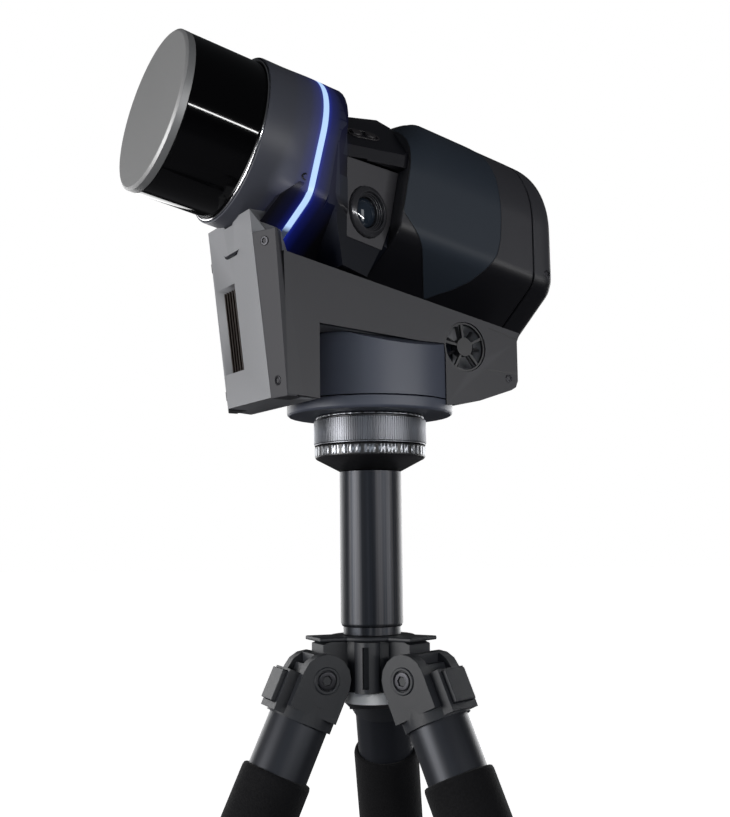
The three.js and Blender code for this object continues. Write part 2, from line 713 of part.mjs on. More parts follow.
function sidePlate(side) {
  const inner = plateHalf - plateThick;
  const ys = side < 0 ? [-plateHalf, -inner] : [inner, plateHalf];
  const ribYs = side < 0 ? [-plateHalf, -columnHalf - gap] : [columnHalf + gap, plateHalf];
  const ribBack = archFrontX - 10;
  const cornerX = columnFace(tabTopZ) + facetFall(-1, tabTopZ) + 0.5;
  const shoulderX = cornerX + 1.6;
  const front = [
    [columnFace(baseFootZ), baseFootZ + 1], [columnFace(tabTopZ), tabTopZ], [cornerX, tabTopZ],
    [shoulderX, baseTop(shoulderX)],
  ];
  const outline = [...front, ...baseRearEdge(), ...baseUnder().reverse()];
  const rib = [...front, [ribBack, baseTop(ribBack)], [ribBack, baseFootZ]];
  let plate = toSolid(acrossY(outline, ...ys)).add(toSolid(acrossY(rib, ...ribYs)));
  plate = plate.subtract(facetCutter(side)).subtract(archCutter());
  plate = plate.subtract(toSolid(noseLoft(gap))).subtract(toSolid(shellBar(lightStart - 6, 280, gap)));
  const fanHole = rod(fanR + gap, -30, 30, legFacets).rotateX(Math.PI / 2);
  return toGeometry(plate.subtract(toSolid(outward(fanHole.translate(fanX, side * plateHalf, fanZ)))));
}

// Slants the corner between the front face and a side plate.
function facetCutter(side) {
  const rise = 140;
  const reach = 40;
  const wide = plateHalf - columnHalf;
  const ringAt = (z) => {
    const x = columnFace(z);
    const fall = facetFall(side, z);
    const spot = (dx, y) => new THREE.Vector3(x + dx, side * y, z);
    const [near, far] = [columnHalf - wide, columnHalf + 2 * wide];
    return [spot(-reach, near), spot(-fall, near), spot(2 * fall, far), spot(-reach, far)];
  };
  return toSolid(loft([ringAt(-10), ringAt(rise)]));
}

// Fins behind the vent, all standing on one back plate.
function heatSink() {
  const parts = [];
  const low = ventLowZ + gap + 1;
  const high = ventHighZ - gap - 1;
  const backX = (z) => columnFace(z) + ventDepth - gap;
  const fin = (y0, y1, reach) => acrossY([
    [backX(low) - reach, low], [backX(low), low], [backX(high), high], [backX(high) - reach, high],
  ], y0, y1);
  parts.push(fin(ventNearY + gap, ventFarY - gap, 2));
  const first = ventNearY + 2;
  const pitch = (ventFarY - 2 - first) / (finCount - 1);
  for (let i = 0; i < finCount; i += 1) {
    const y = first + i * pitch;
    parts.push(fin(y - 0.5, y + 0.5, ventDepth - 4));
  }
  return toGeometry(join(...parts));
}

// Grille over the fan: rim, hub and straight spokes in one piece.
function fanGrille() {
  const thick = 2;
  const parts = [ring(fanR - 1, fanR, -thick, 0, legFacets), rod(fanHubR, -thick, 0, smallFacets)];
  for (let i = 0; i < spokeCount; i += 1) {
    const spoke = block(fanHubR - 1, fanR - 0.5, -spokeWidth / 2, spokeWidth / 2, -thick, -0.3);
    parts.push(spoke.rotateZ((i * 2 * Math.PI) / spokeCount + spokeTurn));
  }
  return toGeometry(join(...parts)).rotateX(Math.PI / 2).translate(fanX, -plateHalf + 0.8, fanZ);
}

function fanImpeller() {
  const top = -2 - runGap;
  const bottom = -fanDepth + 2;
  const bladeR = fanR - 1.6;
  const parts = [rod(fanHubR, bottom, top, smallFacets)];
  for (let i = 0; i < bladeCount; i += 1) {
    const blade = new THREE.BoxGeometry(bladeR - fanHubR + 1, 1, top - bottom - 1);
    blade.rotateX(bladePitch).translate((bladeR + fanHubR - 1) / 2, 0, (top + bottom) / 2);
    parts.push(blade.rotateZ((i * 2 * Math.PI) / bladeCount));
  }
  const trimmed = join(...parts).intersect(toSolid(rod(bladeR, bottom, top, legFacets)));
  return toGeometry(trimmed).rotateX(Math.PI / 2).translate(fanX, -plateHalf, fanZ);
}

// ---- turntable
function turretDrum() {
  const inside = rod(turretR - turretWall, seamZ - 2, turretEaveZ - turretWall - 3);
  const pockets = [-1, 1].map((side) => fanPocket(side, runGap));
  return toGeometry(cut(turretSolid(0), inside, ...pockets));
}

function baseFlange() {
  const edge = 1.2;
  const top = seamZ - gap;
  return turned([
    [flangeBore, 0], [turretR - edge, 0], [turretR, edge], [turretR, top], [flangeBore, top],
    [flangeBore, 0],
  ], drumFacets);
}

const panBearing = () => ring(bearingBore, bearingR, seamZ, seamZ + bearingHeight, legFacets);
const panMotor = () => ring(flangeBore / 2, motorR, seamZ, seamZ + motorHeight - gap, legFacets);

// Knurled ring: coarse teeth here, cut across its outer face.
function lockingRing() {
  const outline = new THREE.Shape();
  for (let i = 0; i < ringTeeth * 2; i += 1) {
    const angle = (i * Math.PI) / ringTeeth;
    const r = i % 2 ? ringR : ringR - 0.7;
    if (i === 0) outline.moveTo(r * Math.cos(angle), r * Math.sin(angle));
    else outline.lineTo(r * Math.cos(angle), r * Math.sin(angle));
  }
  const hole = new THREE.Path().absarc(0, 0, spigotR + gap, 0, Math.PI * 2, true);
  outline.holes.push(hole);
  const depth = ringTopZ - ringBottomZ - 2 * gap;
  const geometry = new THREE.ExtrudeGeometry(outline, { depth, bevelEnabled: false, curveSegments: 24 });
  return outward(geometry.translate(0, 0, ringBottomZ + gap));
}

// Quick-release adapter: top flange, spigot for the ring, polished band and cone.
function adapterCone() {
  const bore = 8;
  return turned([
    [bore, postTopZ + gap], [postR, postTopZ + gap], [bandR - 0.8, bandBottomZ], [bandR, bandBottomZ + 0.8],
    [bandR, ringBottomZ - 0.7], [bandR - 0.7, ringBottomZ], [spigotR, ringBottomZ], [spigotR, ringTopZ],
    [bandTopR, ringTopZ], [bandTopR, -gap], [bore, -gap], [bore, postTopZ + gap],
  ], axisFacets);
}

function post() {
  const edge = 2;
  return turned([
    [0, plateTopZ + gap], [neckR, plateTopZ + gap], [neckR, postBottomZ], [postR - edge / 2, postBottomZ],
    [postR, postBottomZ + edge], [postR, postTopZ], [0, postTopZ],
  ], axisFacets);
}

// ---- tripod head
const legAngle = (name) => THREE.MathUtils.degToRad(legAzimuths[name]);
const aroundZ = (geometry, angle) => outward(geometry.clone().rotateZ(angle));

// Thin top plate with a lobe over each leg.
function apexPlate() {
  const parts = [rod(apexR + 3, apexTopZ + gap, plateTopZ)];
  for (const name of Object.keys(legAzimuths)) {
    const lobe = block(0, lobeR, -lobeHalf, lobeHalf, apexTopZ + gap, plateTopZ);
    parts.push(aroundZ(lobe, legAngle(name)));
  }
  return toGeometry(join(...parts));
}

// Apex casting: core, a lug for each leg with a stepped outer end, and slotted ribs between.
function apex() {
  const parts = [rod(apexR, apexBottomZ, apexTopZ)];
  const slots = [];
  for (const name of Object.keys(legAzimuths)) {
    const angle = legAngle(name);
    const arm = acrossY([
      [5, apexBottomZ], [knobR + 2, apexBottomZ], [hingeR - 4, hingeZ - lugR],
      [hingeR + 1, hingeZ - lugR], [hingeR + 8, hingeZ - 0.75 * lugR], [hingeR + lugR, hingeZ],
      [hingeR + 8.5, hingeZ + 8.5], [hingeR + 4.5, hingeZ + 8.5], [hingeR + 4.5, hingeZ + 14],
      [hingeR - 1, hingeZ + 14], [hingeR - 1, apexTopZ - 1.5], [hingeR - 5, apexTopZ], [5, apexTopZ],
    ], -lugHalf, lugHalf);
    parts.push(aroundZ(arm, angle));
    const rib = rod(ribR, apexBottomZ, apexTopZ, smallFacets).translate(ribAt, 0, 0);
    parts.push(aroundZ(rib, angle + Math.PI / 3));
    const slotMiddle = (apexTopZ + apexBottomZ) / 2;
    const slot = block(ribAt + ribR - 4, ribAt + ribR + 3, -ribSlot / 2, ribSlot / 2,
      slotMiddle - ribSlotHeight / 2, slotMiddle + ribSlotHeight / 2);
    slots.push(aroundZ(slot, angle + Math.PI / 3));
  }
  return toGeometry(cut(join(...parts), ...slots));
}

function centreKnob() {
  const top = apexBottomZ - gap;
  return turned([
    [0, knobBottomZ], [knobR - 3, knobBottomZ], [knobR, knobBottomZ + 3], [knobR, top - 0.5],
    [knobR - 0.5, top], [0, top],
  ], legFacets);
}

// ---- legs: x points out from the leg, z up along it, the hinge at the origin
function shoulder() {
  const sleeve = rod(shoulderR, -shoulderEnd, -tubeStart + 1, legFacets);
  const cheeks = [-1, 1].map((side) => {
    const top = [];
    for (let i = 0; i <= 8; i += 1) {
      const a = (Math.PI * i) / 8;
      top.push([cheekR * Math.cos(a), cheekR * Math.sin(a)]);
    }
    const foot = -tubeStart - tubeDepth;
    const outline = [...top, [-cheekR, foot], [cheekR, foot]];
    const ys = side < 0 ? [-cheekOuter, -lugHalf - gap] : [lugHalf + gap, cheekOuter];
    return acrossY(outline, ...ys);
  });
  const outer = shoulderR + housingRise;
  const [low, high] = [-shoulderEnd + 1, tabHigh + 1.5];
  const housing = acrossY([
    [8, low], [outer, low], [outer, high], [cheekR, high], [cheekR, -tubeStart], [8, -tubeStart],
  ], -tabHalf - 3, tabHalf + 3);
  const whole = join(sleeve, ...cheeks, housing);
  const tubeSeat = rod(tubeR + gap, -shoulderEnd - 1, -tubeStart - tubeDepth, legFacets);
  const seatHalf = tabHalf + gap;
  const tabSeat = block(tubeR + gap, shoulderR + 10, -seatHalf, seatHalf, tabLow - gap, tabHigh + gap);
  return toGeometry(cut(whole, tubeSeat, tabSeat));
}

// Angle lock: a tab let into the shoulder's outer face, with a raised grip edge.
function angleTab() {
  const inner = tubeR + 2 * gap;
  const outer = shoulderR + housingRise + tabRise;
  const plate = block(inner, inner + tabThick, -tabHalf, tabHalf, tabLow, tabHigh);
  const grip = block(inner, outer, -tabHalf, tabHalf, tabLow, tabLow + 6);
  const lip = block(inner, outer, -tabHalf, tabHalf, tabHigh - 3, tabHigh);
  return toGeometry(join(plate, grip, lip));
}

const upperTube = () => ring(tubeR - tubeWall, tubeR, -tubeEnd, -tubeStart - tubeDepth - gap, legFacets);
const foamGrip = () => ring(tubeR + gap, foamR, -foamEnd, -foamStart, legFacets);

function twistLock() {
  const rIn = tubeR + gap;
  const rLow = lowerR + runGap;
  const step = -tubeEnd - gap;
  return turned([
    [rLow, -lockEnd], [lockR, -lockEnd], [lockR, -lockStart], [rIn, -lockStart], [rIn, step], [rLow, step],
    [rLow, -lockEnd],
  ], legFacets);
}

function lowerTube() {
  const bottom = legLength - footLength + 10;
  return ring(lowerR - lowerWall, lowerR, -bottom, -lowerTop, legFacets);
}

// Rubber foot: a cup on the lower tube with a round end, worn flat where it meets the floor.
function foot() {
  const outline = [[0, -footR]];
  for (let i = 1; i <= 4; i += 1) {
    const a = -Math.PI / 2 + (i * Math.PI) / 8;
    outline.push([footR * Math.cos(a), footR * Math.sin(a)]);
  }
  const seat = footLength - 10 - gap;
  const wall = footR + footCup;
  outline.push([wall, 3], [wall, footLength], [lowerR + gap, footLength]);
  outline.push([lowerR + gap, seat], [0, seat]);
  const body = turned(outline, legFacets).translate(0, 0, -legLength);
  const floor = new THREE.BoxGeometry(90, 90, 20).translate(0, 0, -footR + footFlat - 10);
  floor.rotateY(legSpread).translate(0, 0, -legLength);
  return toGeometry(cut(toSolid(body), floor));
}

// ---- assembly
const scanner = new THREE.Group();

function add(parent, name, geometry, material) {
  const mesh = new THREE.Mesh(geometry, material);
  mesh.name = name;
  geometry.computeVertexNormals();
  parent.add(mesh);
  return mesh;
}

const head = new THREE.Group();
head.rotation.z = headYaw;
scanner.add(head);
add(head, 'lidar_cap', lidarCap(), silver);
add(head, 'lidar_window', lidarWindow(), glossBlack);
add(head, 'lidar_trim_ring', lidarTrimRing(), silver);
add(head, 'lidar_rotor', lidarRotor(), darkPlastic);
add(head, 'lidar_base', lidarBase(), darkPlastic);
add(head, 'nose_housing', noseHousing(), shellFinish);
add(head, 'light_ring', lightRing(), lightFinish);
add(head, 'main_shell', mainShell(), shellFinish);
add(head, 'rear_cap', rearCap(), shellFinish);
add(head, 'main_board', mainBoard(), boardFinish);
add(head, 'battery_pack', batteryPack(), darkPlastic);
add(head, 'power_button', button(buttonUs[0]), darkPlastic);
add(head, 'record_button', button(buttonUs[1]), darkPlastic);
add(head, 'base_frame', baseFrame(), coverFinish);
add(head, 'heat_sink', heatSink(), anodised);
add(head, 'fan_grille', fanGrille(), darkPlastic);
add(head, 'fan_impeller', fanImpeller(), darkPlastic);
add(head, 'turret_drum', turretDrum(), shellFinish);
for (const [name, side] of [['right', -1], ['left', 1]]) {
  add(head, `cheek_panel_${name}`, cheekPanel(side), cheekFinish);
  add(head, `camera_panel_${name}`, cameraPanel(side), coverFinish);
  add(head, `camera_barrel_${name}`, cameraBarrel(side), darkPlastic);
  add(head, `camera_lens_${name}`, cameraLens(side), glassFinish);
  add(head, `side_plate_${name}`, sidePlate(side), shellFinish);
}
add(head, 'base_flange', baseFlange(), shellFinish);
add(head, 'pan_bearing', panBearing(), steel);
add(head, 'pan_motor', panMotor(), steel);
add(head, 'locking_ring', lockingRing(), steel);
add(head, 'adapter_cone', adapterCone(), darkPlastic);
add(head, 'post', post(), anodised);
add(scanner, 'apex_plate', apexPlate(), casting);
add(scanner, 'apex', apex(), casting);
add(scanner, 'centre_knob', centreKnob(), darkPlastic);

for (const name of Object.keys(legAzimuths)) {
  const azimuth = new THREE.Group();
  azimuth.rotation.z = legAngle(name);
  const leg = new THREE.Group();
  leg.position.set(hingeR, 0, hingeZ);
  leg.rotation.y = -legSpread;
  azimuth.add(leg);
  scanner.add(azimuth);
  add(leg, `shoulder_${name}`, shoulder(), casting);
  add(leg, `angle_tab_${name}`, angleTab(), casting);
  add(leg, `upper_tube_${name}`, upperTube(), anodised);
  add(leg, `foam_grip_${name}`, foamGrip(), foamFinish);
  add(leg, `twist_lock_${name}`, twistLock(), rubberFinish);
  add(leg, `lower_tube_${name}`, lowerTube(), anodised);
  add(leg, `foot_${name}`, foot(), rubberFinish);
}

// Stands the whole thing on z = 0, over the middle of its own footprint.
scanner.updateMatrixWorld(true);
const extent = new THREE.Box3().setFromObject(scanner, true);
const middle = extent.getCenter(new THREE.Vector3());
scanner.position.set(-middle.x, -middle.y, -extent.min.z);
scanner.updateMatrixWorld(true);

export default scanner;
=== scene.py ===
import json
import math

import bmesh
import bpy
import numpy as np
from mathutils import Matrix, Vector


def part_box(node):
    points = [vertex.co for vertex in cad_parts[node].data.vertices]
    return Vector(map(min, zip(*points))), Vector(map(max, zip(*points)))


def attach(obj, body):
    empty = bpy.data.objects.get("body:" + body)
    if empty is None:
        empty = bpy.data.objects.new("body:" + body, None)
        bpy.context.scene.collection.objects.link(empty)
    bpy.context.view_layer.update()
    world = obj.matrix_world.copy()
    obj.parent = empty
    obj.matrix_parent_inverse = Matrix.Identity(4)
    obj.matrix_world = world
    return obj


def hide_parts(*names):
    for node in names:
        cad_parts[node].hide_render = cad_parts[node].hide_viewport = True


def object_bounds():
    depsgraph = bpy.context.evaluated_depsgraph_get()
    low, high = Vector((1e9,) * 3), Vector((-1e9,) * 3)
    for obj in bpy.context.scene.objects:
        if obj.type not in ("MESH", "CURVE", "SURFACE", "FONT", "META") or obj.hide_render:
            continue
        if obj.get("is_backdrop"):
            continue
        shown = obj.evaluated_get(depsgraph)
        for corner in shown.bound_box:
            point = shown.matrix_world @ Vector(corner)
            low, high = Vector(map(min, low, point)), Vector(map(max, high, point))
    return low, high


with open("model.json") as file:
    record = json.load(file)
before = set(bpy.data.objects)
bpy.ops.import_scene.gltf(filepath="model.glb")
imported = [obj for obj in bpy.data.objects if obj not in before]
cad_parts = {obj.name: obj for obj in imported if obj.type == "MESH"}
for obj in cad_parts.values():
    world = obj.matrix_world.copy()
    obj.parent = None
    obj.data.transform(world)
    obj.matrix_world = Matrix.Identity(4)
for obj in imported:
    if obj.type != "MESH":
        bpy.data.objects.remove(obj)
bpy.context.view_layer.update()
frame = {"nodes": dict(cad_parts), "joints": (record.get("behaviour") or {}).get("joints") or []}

nodes = frame["nodes"]
joints = {j["name"]: j for j in frame["joints"]}
scene = bpy.context.scene
scene.view_settings.view_transform = "Standard"
mm = 0.001
pi = math.pi
tiny = 1e-6
fineFacets = 144
legNames = ("rear", "left", "right")
bothSides = (("right", -1), ("left", 1))


def place(origin, x, z):
    # a frame for shapes in millimetres: columns x, z cross x and z, and the origin in metres
    x, z = np.array(x, float), np.array(z, float)
    x, z = x / np.linalg.norm(x), z / np.linalg.norm(z)
    m = np.eye(4)
    m[:3, 0], m[:3, 1], m[:3, 2], m[:3, 3] = x * mm, np.cross(z, x) * mm, z * mm, origin
    return m


def pointIn(where, x, y, z):
    # the point x, y, z millimetres into a place, in metres
    return where[:3, 3] + where[:3, :3] @ np.array([x, y, z], float)


def legPlace(name):
    # x outwards, z up the leg, the hinge at the origin
    down = np.array(joints[f"twist_{name}"]["axis"], float)
    return place(joints[f"leg_fold_{name}"]["pos_m"], joints[f"angle_tab_pull_{name}"]["axis"], -down)


# every place comes from the joints; in the drum's place u runs rearwards, y across and v up
panAxis = joints["head_pan"]["pos_m"]
drumAt = joints["lidar_spin"]["pos_m"]
drumAxis = np.array(joints["lidar_spin"]["axis"], float)
stand = place(panAxis, (1, 0, 0), (0, 0, 1))
head = place(panAxis, (drumAxis[0], drumAxis[1], 0), (0, 0, 1))
drum = place(drumAt, drumAxis, np.cross(drumAxis, head[:3, 1] / mm))
drumZ = place(drumAt, drum[:3, 2], -drumAxis)  # z runs out of the front cap
tilt = math.asin(-drumAxis[2])
cosTilt, sinTilt = math.cos(tilt), math.sin(tilt)
drumFront = np.linalg.inv(head) @ np.append(np.array(drumAt), 1)  # the drum's origin in the head's place


def tidyMesh(obj, smooth=35, merge=0.00002):
    # merges doubles, drops slivers, points faces outwards and shades by angle
    bm = bmesh.new()
    bm.from_mesh(obj.data)
    bmesh.ops.remove_doubles(bm, verts=bm.verts, dist=merge)
    bmesh.ops.dissolve_degenerate(bm, edges=bm.edges, dist=merge / 4)
    bmesh.ops.recalc_face_normals(bm, faces=bm.faces)
    if bm.calc_volume(signed=True) < 0:
        bmesh.ops.reverse_faces(bm, faces=bm.faces)
    bm.to_mesh(obj.data)
    bm.free()
    obj.data.shade_smooth()
    obj.data.set_sharp_from_angle(angle=math.radians(smooth))
    obj.data.update()


def meshFrom(name, points, faces, where, smooth=35):
    # a mesh object from an array of points in millimetres and a list of faces
    p = np.asarray(points, float).reshape(-1, 3)
    p = p @ where[:3, :3].T + where[:3, 3]
    data = bpy.data.meshes.new(name)
    data.from_pydata(p.tolist(), [], faces)
    obj = bpy.data.objects.new(name, data)
    scene.collection.objects.link(obj)
    tidyMesh(obj, smooth)
    return obj


def gridFaces(n, m, closeN, closeM):
    # quads of an n by m grid of points, joined up round either way if asked
    i, j = np.meshgrid(np.arange(n if closeN else n - 1), np.arange(m if closeM else m - 1), indexing="ij")
    nextI, nextJ = (i + 1) % n, (j + 1) % m
    return np.stack([i * m + j, nextI * m + j, nextI * m + nextJ, i * m + nextJ], -1).reshape(-1, 4)


def gridMesh(name, points, where, closeN=False, closeM=False, capEnds=False, smooth=35):
    # points[n, m, 3] as a surface; capEnds closes the first and last row with a fan to its middle
    n, m = points.shape[:2]
    faces = gridFaces(n, m, closeN, closeM).tolist()
    flat = points.reshape(-1, 3)
    if capEnds:
        flat = np.concatenate([flat, np.stack([points[0].mean(0), points[-1].mean(0)])])
        j = np.arange(m)
        k = (j + 1) % m
        last = (n - 1) * m
        faces += np.stack([np.full(m, n * m), k, j], -1).tolist()
        faces += np.stack([np.full(m, n * m + 1), last + j, last + k], -1).tolist()
    return meshFrom(name, flat, faces, where, smooth)


def rounded(outline, radius, steps=4):
    # each corner of a closed outline becomes a quadratic curve between points set back along its two
    # sides by radius / tan(half the corner's angle); radius may be a list, one for each corner
    pts = np.array(outline, float)
    count = len(pts)
    radii = radius if hasattr(radius, "__len__") else [radius] * count
    out = []
    for i in range(count):
        p, q, r = pts[i - 1], pts[i], pts[(i + 1) % count]
        a, b = p - q, r - q
        la, lb = np.linalg.norm(a), np.linalg.norm(b)
        if radii[i] <= 0 or la < tiny or lb < tiny:
            out.append(q)
            continue
        a, b = a / la, b / lb
        half = math.acos(np.clip(a @ b, -1, 1)) / 2
        if half > pi / 2 - 0.01:  # the two sides run straight on
            out.append(q)
            continue
        cutBack = min(radii[i] / math.tan(half), la * 0.49, lb * 0.49)
        t = np.linspace(0, 1, steps + 1)[:, None]
        start, end = q + a * cutBack, q + b * cutBack
        out.extend((1 - t) ** 2 * start + 2 * t * (1 - t) * q + t**2 * end)
    return np.array(out)


def turned(name, profile, where, radius=0.4, facets=96, arc=4, smooth=35):
    # every (r, z) of the profile goes once round z, as (r cos a, r sin a, z); a profile that ends
    # where it starts makes a ring
    prof = np.array(profile, float)
    closed = np.allclose(prof[0], prof[-1])
    if closed:
        prof = prof[:-1]
    radii = radius if hasattr(radius, "__len__") else [0 if r < tiny else radius for r, z in prof]
    line = rounded(prof, radii, arc)
    a = np.linspace(0, 2 * pi, facets, endpoint=False)
    r, z = line[:, 0][:, None], line[:, 1][:, None]
    pts = np.stack([r * np.cos(a), r * np.sin(a), np.broadcast_to(z, (len(line), facets))], -1)
    return gridMesh(name, pts, where, closeN=closed, closeM=True, smooth=smooth)


def ringBand(name, where, profile, facets=96, radius=0.15, arc=3):
    # a closed ring section turned about z
    return turned(name, profile + [profile[0]], where, radius, facets, arc)


def slab(name, outline, low, high, where, upright=False):
    # an outline carried straight from low to high along z, or along y if it stands upright
    pts = np.array(outline, float)
    count = len(pts)
    both = np.concatenate([np.column_stack([pts, np.full(count, end)]) for end in (low, high)])
    if upright:
        both = both[:, [0, 2, 1]]
    i = np.arange(count)
    walls = np.stack([i, (i + 1) % count, (i + 1) % count + count, i + count], -1).tolist()
    return meshFrom(name, both, [list(range(count))[::-1], list(range(count, 2 * count))] + walls, where)


def polar(radii, heights, facets=48, angles=None):
    # rows of points (r cos a, r sin a, z), with one radius for a whole row or one for each angle
    a = np.linspace(0, 2 * pi, facets, endpoint=False) if angles is None else angles
    r, z = np.array(radii, float), np.array(heights, float)
    r = r[:, None] * np.ones(len(a)) if r.ndim == 1 else r
    z = z[:, None] * np.ones(len(a)) if z.ndim == 1 else z
    return np.stack([r * np.cos(a), r * np.sin(a), z], -1)


def boltHead(name, where, size, height, socket, depth, facets=48):
    # a low round head on z = 0 with a hexagonal socket: a hexagon's radius is its half width
    # divided by the cosine of the angle from the middle of the nearest flat
    a = np.linspace(0, 2 * pi, facets, endpoint=False)
    hexagon = socket / np.cos((a + pi / 6) % (pi / 3) - pi / 6)
    one = np.ones(facets)
    rows = [(one * size, -0.6), (one * size, height * 0.7), (one * size * 0.93, height * 0.94),
            (one * size * 0.84, height), (hexagon * 1.12, height), (hexagon * 1.0, height - 0.12 * socket),
            (hexagon * 0.98, height - depth), (hexagon * 0.02, height - depth)]
    pts = polar([r for r, z in rows], [z for r, z in rows], facets)
    return gridMesh(name, pts, where, closeM=True, capEnds=True, smooth=25)


def toothed(name, where, radius, low, high, count, depth, duty=0.5):
    # a ring whose radius drops by depth between count upright teeth, each as wide as duty of its pitch
    thick, edge, slope = 2.2, (0.35, 0.4), 12
    a = np.linspace(0, 2 * pi, count * 6, endpoint=False)
    phase = (a * count / (2 * pi)) % 1
    r = radius - depth * np.clip((np.abs(phase - 0.5) - duty / 2) * slope, 0, 1)
    rows = [(radius - thick, low), (r - edge[0], low), (r, low + edge[1]),
            (r, high - edge[1]), (r - edge[0], high), (radius - thick, high)]
    one = np.ones(len(a))
    pts = polar(np.array([q * one for q, z in rows]), np.array([z * one for q, z in rows]), angles=a)
    return gridMesh(name, pts, where, closeN=True, closeM=True, smooth=40)


def carve(obj, *cutters, how="DIFFERENCE"):
    # cuts with each tool in turn, works the cuts into the mesh and removes the tools
    for cutter in cutters:
        m = obj.modifiers.new("carve", "BOOLEAN")
        m.operation, m.object, m.solver = how, cutter, "EXACT"
    bpy.context.view_layer.update()
    made = bpy.data.meshes.new_from_object(obj.evaluated_get(bpy.context.evaluated_depsgraph_get()))
    obj.modifiers.clear()
    old = obj.data
    obj.data = made
    bpy.data.meshes.remove(old)
    made.name = obj.name
    tidyMesh(obj)
    for cutter in cutters:
        bpy.data.objects.remove(cutter)
    return obj


def addBevel(obj, width, segments, angle):
    b = obj.modifiers.new("soften", "BEVEL")
    b.width, b.segments, b.limit_method, b.angle_limit = width * mm, segments, "ANGLE", math.radians(angle)


def edged(obj, bevel, segments=3):
    # rounds the sharp edges and keeps the broad faces flat in their shading
    addBevel(obj, bevel, segments, 28)
    flatten = obj.modifiers.new("flatten", "WEIGHTED_NORMAL")
    flatten.keep_sharp, flatten.weight = False, 60
    obj.data.shade_smooth()
    for e in obj.data.edges:
        e.use_edge_sharp = False
    return obj


def copied(name, node, flat=2.0):
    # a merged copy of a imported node, with the triangles of its flat faces joined up
    data = nodes[node].data.copy()
    data.name = name
    obj = bpy.data.objects.new(name, data)
    scene.collection.objects.link(obj)
    tidyMesh(obj, 32, 0.00004)
    bm = bmesh.new()
    bm.from_mesh(data)
    if flat:
        bmesh.ops.dissolve_limit(bm, angle_limit=math.radians(flat), verts=bm.verts, edges=bm.edges)
    bmesh.ops.recalc_face_normals(bm, faces=bm.faces)
    bm.to_mesh(data)
    bm.free()
    return obj


def finishPiece(obj, finish, body, replaces=None):
    obj.data.materials.clear()
    obj.data.materials.append(finish.mat)
    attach(obj, body)
    if replaces:
        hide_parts(replaces)
    return obj


def carry(name, node, bevel, segments, finish, body):
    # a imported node's own shape with its edges rounded
    return finishPiece(edged(copied(name, node), bevel, segments), finish, body, node)


class Sock:
    # a node socket; an expression on it adds Math nodes

    def __init__(self, tree, socket):
        self.tree, self.socket = tree, socket

    def math(self, operation, first, second):
        return self.tree.node("ShaderNodeMath", {"operation": operation}, [first, second])

    def __add__(self, other):
        return self.math("ADD", self, other)

    def __sub__(self, other):
        return self.math("SUBTRACT", self, other)

    def __rsub__(self, other):
        return self.math("SUBTRACT", other, self)

    def __mul__(self, other):
        return self.math("MULTIPLY", self, other)

    __radd__, __rmul__ = __add__, __mul__


class Finish:
    # one material and the few calls that build its nodes

    def __init__(self, name):
        self.mat = bpy.data.materials.new(name)
        self.mat.use_nodes = True
        self.nodes, self.links = self.mat.node_tree.nodes, self.mat.node_tree.links
        self.shader = self.nodes["Principled BSDF"]
        self.objectCoords = self.node("ShaderNodeTexCoord", {}, [], "Object")

    def node(self, kind, settings, values, out=0):
        n = self.nodes.new(kind)
        for key, value in settings.items():
            if key == "stops":
                elements = n.color_ramp.elements
                while len(elements) < len(value):
                    elements.new(0.5)
                for e, (at, colour) in zip(elements, value):
                    e.position = at
                    e.color = (*colour, 1) if hasattr(colour, "__len__") else (colour, colour, colour, 1)
            else:
                setattr(n, key, value)
        for key, value in values.items() if isinstance(values, dict) else enumerate(values):
            if isinstance(value, Sock):
                self.links.new(value.socket, n.inputs[key])
            else:
                n.inputs[key].default_value = value
        return Sock(self, n.outputs[out])

    def set(self, **values):
        # values or sockets of the shader, by name with underscores for spaces
        for key, value in values.items():
            socket = self.shader.inputs[key.replace("_", " ")]
            if isinstance(value, Sock):
                self.links.new(value.socket, socket)
            else:
                socket.default_value = value

    def placed(self, where):
        # the coordinates of a point in a place, in metres
        turn = Matrix((where[:3, :3] / mm).tolist()).to_euler()
        return self.node("ShaderNodeMapping", {"vector_type": "TEXTURE"}, {
            "Vector": self.objectCoords, "Location": tuple(where[:3, 3]), "Rotation": tuple(turn)})

    def parts(self, vector):
        # the three numbers of a vector
        split = self.node("ShaderNodeSeparateXYZ", {}, [vector])
        return [Sock(self, out) for out in split.socket.node.outputs]

    def noise(self, scale, detail=2.0, roughness=0.5, at=None):
        return self.node("ShaderNodeTexNoise", {}, {
            "Vector": at or self.objectCoords, "Scale": scale, "Detail": detail, "Roughness": roughness}, "Fac")

    def ramp(self, value, stops=((0.0, 0.0), (1.0, 1.0))):
        return self.node("ShaderNodeValToRGB", {"stops": stops}, [value])

    def mix(self, factor, a, b):
        a, b = (c if isinstance(c, Sock) else (*c, 1) for c in (a, b))
        return self.node("ShaderNodeMix", {"data_type": "RGBA"}, {0: factor, 6: a, 7: b}, 2)

    def bump(self, height, strength, distance):
        self.set(Normal=self.node("ShaderNodeBump", {}, {
            "Strength": strength, "Distance": distance, "Height": height}))

    def edgeWear(self):
        # 1 along sharp convex edges
        return self.ramp(self.node("ShaderNodeNewGeometry", {}, [], "Pointiness"), [(0.52, 0.0), (0.62, 1.0)])


